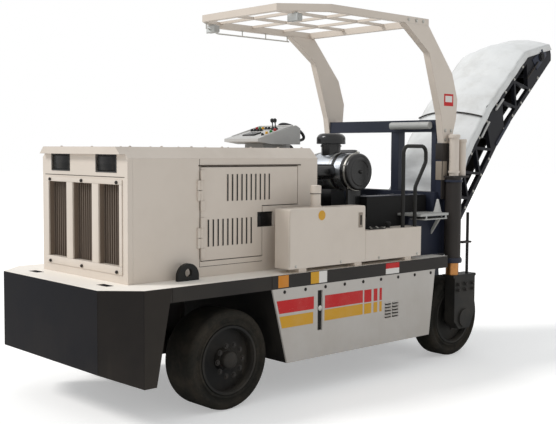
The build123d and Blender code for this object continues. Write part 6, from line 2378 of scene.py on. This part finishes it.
@dataclass
class Conveyor(Assembly):
    """Rear conveyor: tarpaulin, hoops, rods, plates, head bearings and fasteners."""

    luff_aft: float = 3600.0
    luff_z: float = 560.0
    slope_low: float = 51.5
    slope_high: float = 42.5
    knee: float = 1933.0
    half: float = 380.0
    chord_low: float = -85.0
    chord_high: float = 215.0
    cloth_arch: Arch = Arch(0.366, 0.088)
    hoop_arch: Arch = Arch(0.352, 0.076)
    girth: float = 0.91
    bay: float = 230.0
    hoops: int = 11
    cloth_steps: tuple[int, int] = (120, 64)
    strap_run: float = 1815.0
    rod_rise: float = 180.0
    rods: tuple[Span, ...] = ((1650.0, 1850.0), (1985.0, 2150.0))
    knee_plate: tuple[Span, ...] = ((-170, 4), (170, 4), (170, 38), (-170, 38))
    head_run: float = 2968.0
    head_rise: float = 65.0
    head_plate: tuple[Span, ...] = ((-150, 10), (78, 10), (104, 40), (78, 118), (-150, 142))
    bearing_form: Profile = (
        (0, 0), (0, 0.05), (0.008, 0.05), (0.01, 0.034), (0.02, 0.032), (0.02, 0),
    )
    cloth_thickness: float = 0.0016
    bolt_runs: tuple[int, int, int] = (380, 2781, 200)
    bare_runs: Span = (1250.0, 2700.0)
    cover_start: float = 840.0
    cover_end: float = 3166.0
    top_edge: tuple[Span, ...] = (
        (0.0, 215.0), (1080.0, 215.0), (1380.0, 292.0), (2760.0, 292.0), (2950.0, 192.0),
        (3166.0, 70.0),
    )

    def top_rise(self, run: float) -> float:
        """Rise of the side boards' top edge at a distance along the belt line."""
        for (start, low), (end, high) in zip(self.top_edge, self.top_edge[1:]):
            if run <= end:
                return low + (high - low) * (run - start) / (end - start)
        return self.top_edge[-1][1]

    def place(self, run: float, rise: float, y: float) -> Vector:
        """Point beside the belt line, which bends at the knee.

        Args:
            run: Distance along the line in millimetres.
            rise: Distance above it.
            y: Distance to the left.

        Returns:
            The point in metres.
        """
        low, high = math.radians(self.slope_low), math.radians(self.slope_high)
        slope = low if run <= self.knee else high
        near, past = min(run, self.knee), max(run - self.knee, 0.0)
        aft = near * math.cos(low) + past * math.cos(high) - rise * math.sin(slope)
        up = near * math.sin(low) + past * math.sin(high) + rise * math.cos(slope)
        return self.at(self.luff_aft + aft, y, self.luff_z + up)

    def build(self) -> None:
        """Dresses the conveyor."""
        self._tarpaulin()
        self._hoops()
        self._strips()
        self._head()
        self._bolts()

    def _cloth_point(self, run: float, along: float) -> Vector:
        """Point of the tarpaulin, with its sag, ripples and flaps.

        Args:
            run: Distance along the belt line in millimetres.
            along: Distance across the flat cloth from its ridge, in metres.

        Returns:
            The point in metres.
        """
        arch = self.cloth_arch
        arc_half = arch.half_angle * arch.radius
        over = abs(along) - arc_half
        if over <= 0:
            y, rise = arch.spot(along / arch.radius)
            inside = 1 - (along / arc_half) ** 2
        else:
            y = math.copysign(arch.chord + min(over, 0.004) + 0.014, along)
            y += math.copysign(0.003 + 0.003 * math.sin(run * 0.03 + along * 5), along)
            rise, inside = -over, 0.0
        sag = math.sin(math.pi * ((run - self.cover_start) / self.bay % 1.0)) ** 2
        ripple = noise.noise(Vector((run * 0.004, along * 3.0, 1.7))) * 0.010
        fold = noise.noise(Vector((run * 0.013, along * 9.0, 5.1))) * 0.005
        rise += -0.016 * sag * inside + (ripple + fold) * (0.25 + inside)
        return self.place(run, self.top_rise(run) + rise / MM + 2.0, y / MM)

    def _tarpaulin(self) -> None:
        """White cover that sags between its hoops and laps over the truss."""
        runs, laps = self.cloth_steps
        step, lane = (self.cover_end - self.cover_start) / runs, self.girth / laps
        mesh = bmesh.new()
        afar = [self.cover_start + row * step for row in range(runs + 1)]
        across = [(at - laps / 2) * lane for at in range(laps + 1)]
        grid = [[mesh.verts.new(self._cloth_point(run, along)) for along in across] for run in afar]
        for near, far in zip(grid, grid[1:]):
            for at in range(laps):
                mesh.faces.new((near[at], near[at + 1], far[at + 1], far[at]))
        bmesh.ops.recalc_face_normals(mesh, faces=mesh.faces[:])
        data = bpy.data.meshes.new("conveyor_tarpaulin")
        mesh.to_mesh(data)
        mesh.free()
        data.materials.append(self.finishes["tarpaulin"])
        cloth = settle("conveyor_tarpaulin", data, "conveyor", math.pi)
        wall = cloth.modifiers.new("cloth_thickness", "SOLIDIFY")
        wall.thickness = self.cloth_thickness
        wall.offset = 1.0
        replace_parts(cloth, "conveyor_cover")

    def _hoops(self) -> None:
        """Round hoops that carry the cover."""
        hoops, arch = Shape(), self.hoop_arch
        for number in range(self.hoops):
            run = self.cover_start + 5.0 + number * self.bay
            spots = [arch.spot(arch.half_angle * (step / 8 - 1)) for step in range(17)]
            path = [self.place(run, self.top_rise(run) + rise / MM, y / MM) for y, rise in spots]
            hoops.ring_frame(path, 0.006, 8, False)
        self.add(hoops, "cover_hoops", "bright_zinc", "machined_steel", "conveyor")

    def _strips(self) -> None:
        """Strap over the cover, pale rods on the truss and the knee's plates."""
        strap, rods, plates = Shape(), Shape(), Shape()
        arch = []
        for share in (step / 8 - 1 for step in range(17)):
            lift = self.top_rise(self.strap_run) + 84 * (1 - share * share) + 12
            arch.append(self.place(self.strap_run, lift, share * (self.half + 10)))
        strap.ring_frame(arch, 0.008, 10, False)
        self.add(strap, "cover_strap", "dark_steel", "machined_steel", "conveyor")
        rise = self.rod_rise
        for side in Side:
            inner, outer = side.value * self.half, side.value * (self.half + 12)
            for start, end in self.rods:
                ends = [self.place(run, rise, outer) for run in (start, end)]
                rods.bar(*ends, 0.011, 14)
                for run in (start + 20, end - 20):
                    rods.bar(self.place(run, rise, inner), self.place(run, rise, outer), 0.006, 10)
            corners = [
                self.place(self.knee + run, self.chord_low + up, inner)
                for run, up in self.knee_plate
            ]
            plates.prism(corners, side.out * 0.008)
        self.add(rods, "truss_rods", "grey_plastic", "grey_paint", "conveyor")
        self.add(plates, "knee_plates", "navy_paint", body="conveyor")

    def _head(self) -> None:
        """Flat bearing plates, shaft ends and the belt's take-up screws."""
        run, rise = self.head_run, self.head_rise
        plates, bearings, screws = Shape(), Shape(), Shape()
        for side in Side:
            face, seat, lane = (side.value * (self.half + out) for out in (0, 6, 14))
            corners = [self.place(run + at, up, face) for at, up in self.head_plate]
            plates.prism(corners, side.out * 0.006, 0.0015)
            bearings.lathe(self.bearing_form, self.place(run, rise, seat), side.out, 36)
            ends = [self.place(run - back, rise, lane) for back in (360, 90)]
            screws.bar(*ends, 0.008, 12)
        self.add(plates, "head_plates", "navy_paint", body="conveyor")
        self.add(bearings, "head_bearings", "black_paint", body="conveyor")
        self.add(screws, "take_up_screws", "dark_steel", "machined_steel", "conveyor")

    def _bolts(self) -> None:
        """Bolts along the chords, where the cover's flap leaves them in sight."""
        seats = []
        for side in Side:
            y = side.value * self.half
            for run in range(*self.bolt_runs):
                seats.append((self.place(run, self.chord_low + 21, y), side.out))
                if self.bare_runs[0] < run < self.bare_runs[1]:
                    seats.append((self.place(run + 60, self.chord_high - 21, y), side.out))
        self.bolts("conveyor_bolts", seats, 9, slot="navy_paint", body="conveyor")


NODE_FINISHES = {
    "ballast_paint": ("ballast_box",),
    "deck_paint": ("main_frame",),
    "fork_paint": ("lashing_rings", "left_fork", "right_fork", "left_handrail", "right_handrail"),
    "black_paint": ("front_axle", "left_knuckle", "right_knuckle", "milling_chamber", "platform"),
    "rim_paint": ("front_left_rim", "front_right_rim", "rear_left_rim", "rear_right_rim"),
    "column_steel": ("left_column", "right_column"),
    "drum_steel": ("milling_drum",),
    "skirt_cream": ("left_skirt", "right_skirt"),
    "cream_paint": (
        "hood_shell",
        "hood_front",
        "left_door",
        "right_door",
        "left_tank",
        "right_tank",
        "leg_cylinders",
        "canopy_posts",
        "canopy_roof",
    ),
    "grille_paint": ("grille",),
    "radiator_fins": ("radiator_core",),
    "engine_iron": ("engine_block",),
    "grey_paint": ("step_plates",),
    "grey_plastic": ("console",),
    "cleaner_paint": ("air_cleaner",),
    "rear_paint": ("rear_frame",),
    "navy_paint": ("back_rail", "slew_yoke", "lift_barrel"),
    "truss_paint": ("conveyor_truss",),
    "machined_steel": ("conveyor_pulleys",),
    "belt_rubber": ("conveyor_belt",),
    "rod_chrome": ("lift_rod",),
}


def dress_nodes(nodes: dict[str, bpy.types.Object], finishes: Finishes) -> None:
    """Gives every carried-over node its finish.

    Args:
        nodes: The frame's nodes by name.
        finishes: The finishes.
    """
    for finish, names in NODE_FINISHES.items():
        for name in names:
            for slot in nodes[name].material_slots:
                slot.material = finishes[finish]
            LOG.info("node %s in %s", name, finish)


def main() -> None:
    """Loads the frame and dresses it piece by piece."""
    logging.basicConfig(level=logging.INFO, format="%(message)s")
    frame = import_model()
    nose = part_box("ballast_box")[1].x
    finishes = Finishes()
    trees = Trees()
    dress_nodes(frame["nodes"], finishes)
    for kind in (Chassis, Hood, Tanks, RunningGear, Operator, RearKit, Canopy, Conveyor):
        LOG.info("building %s", kind.__name__)
        kind(finishes, trees, nose).build()
    Studio().build()


if __name__ == "__main__":
    main()
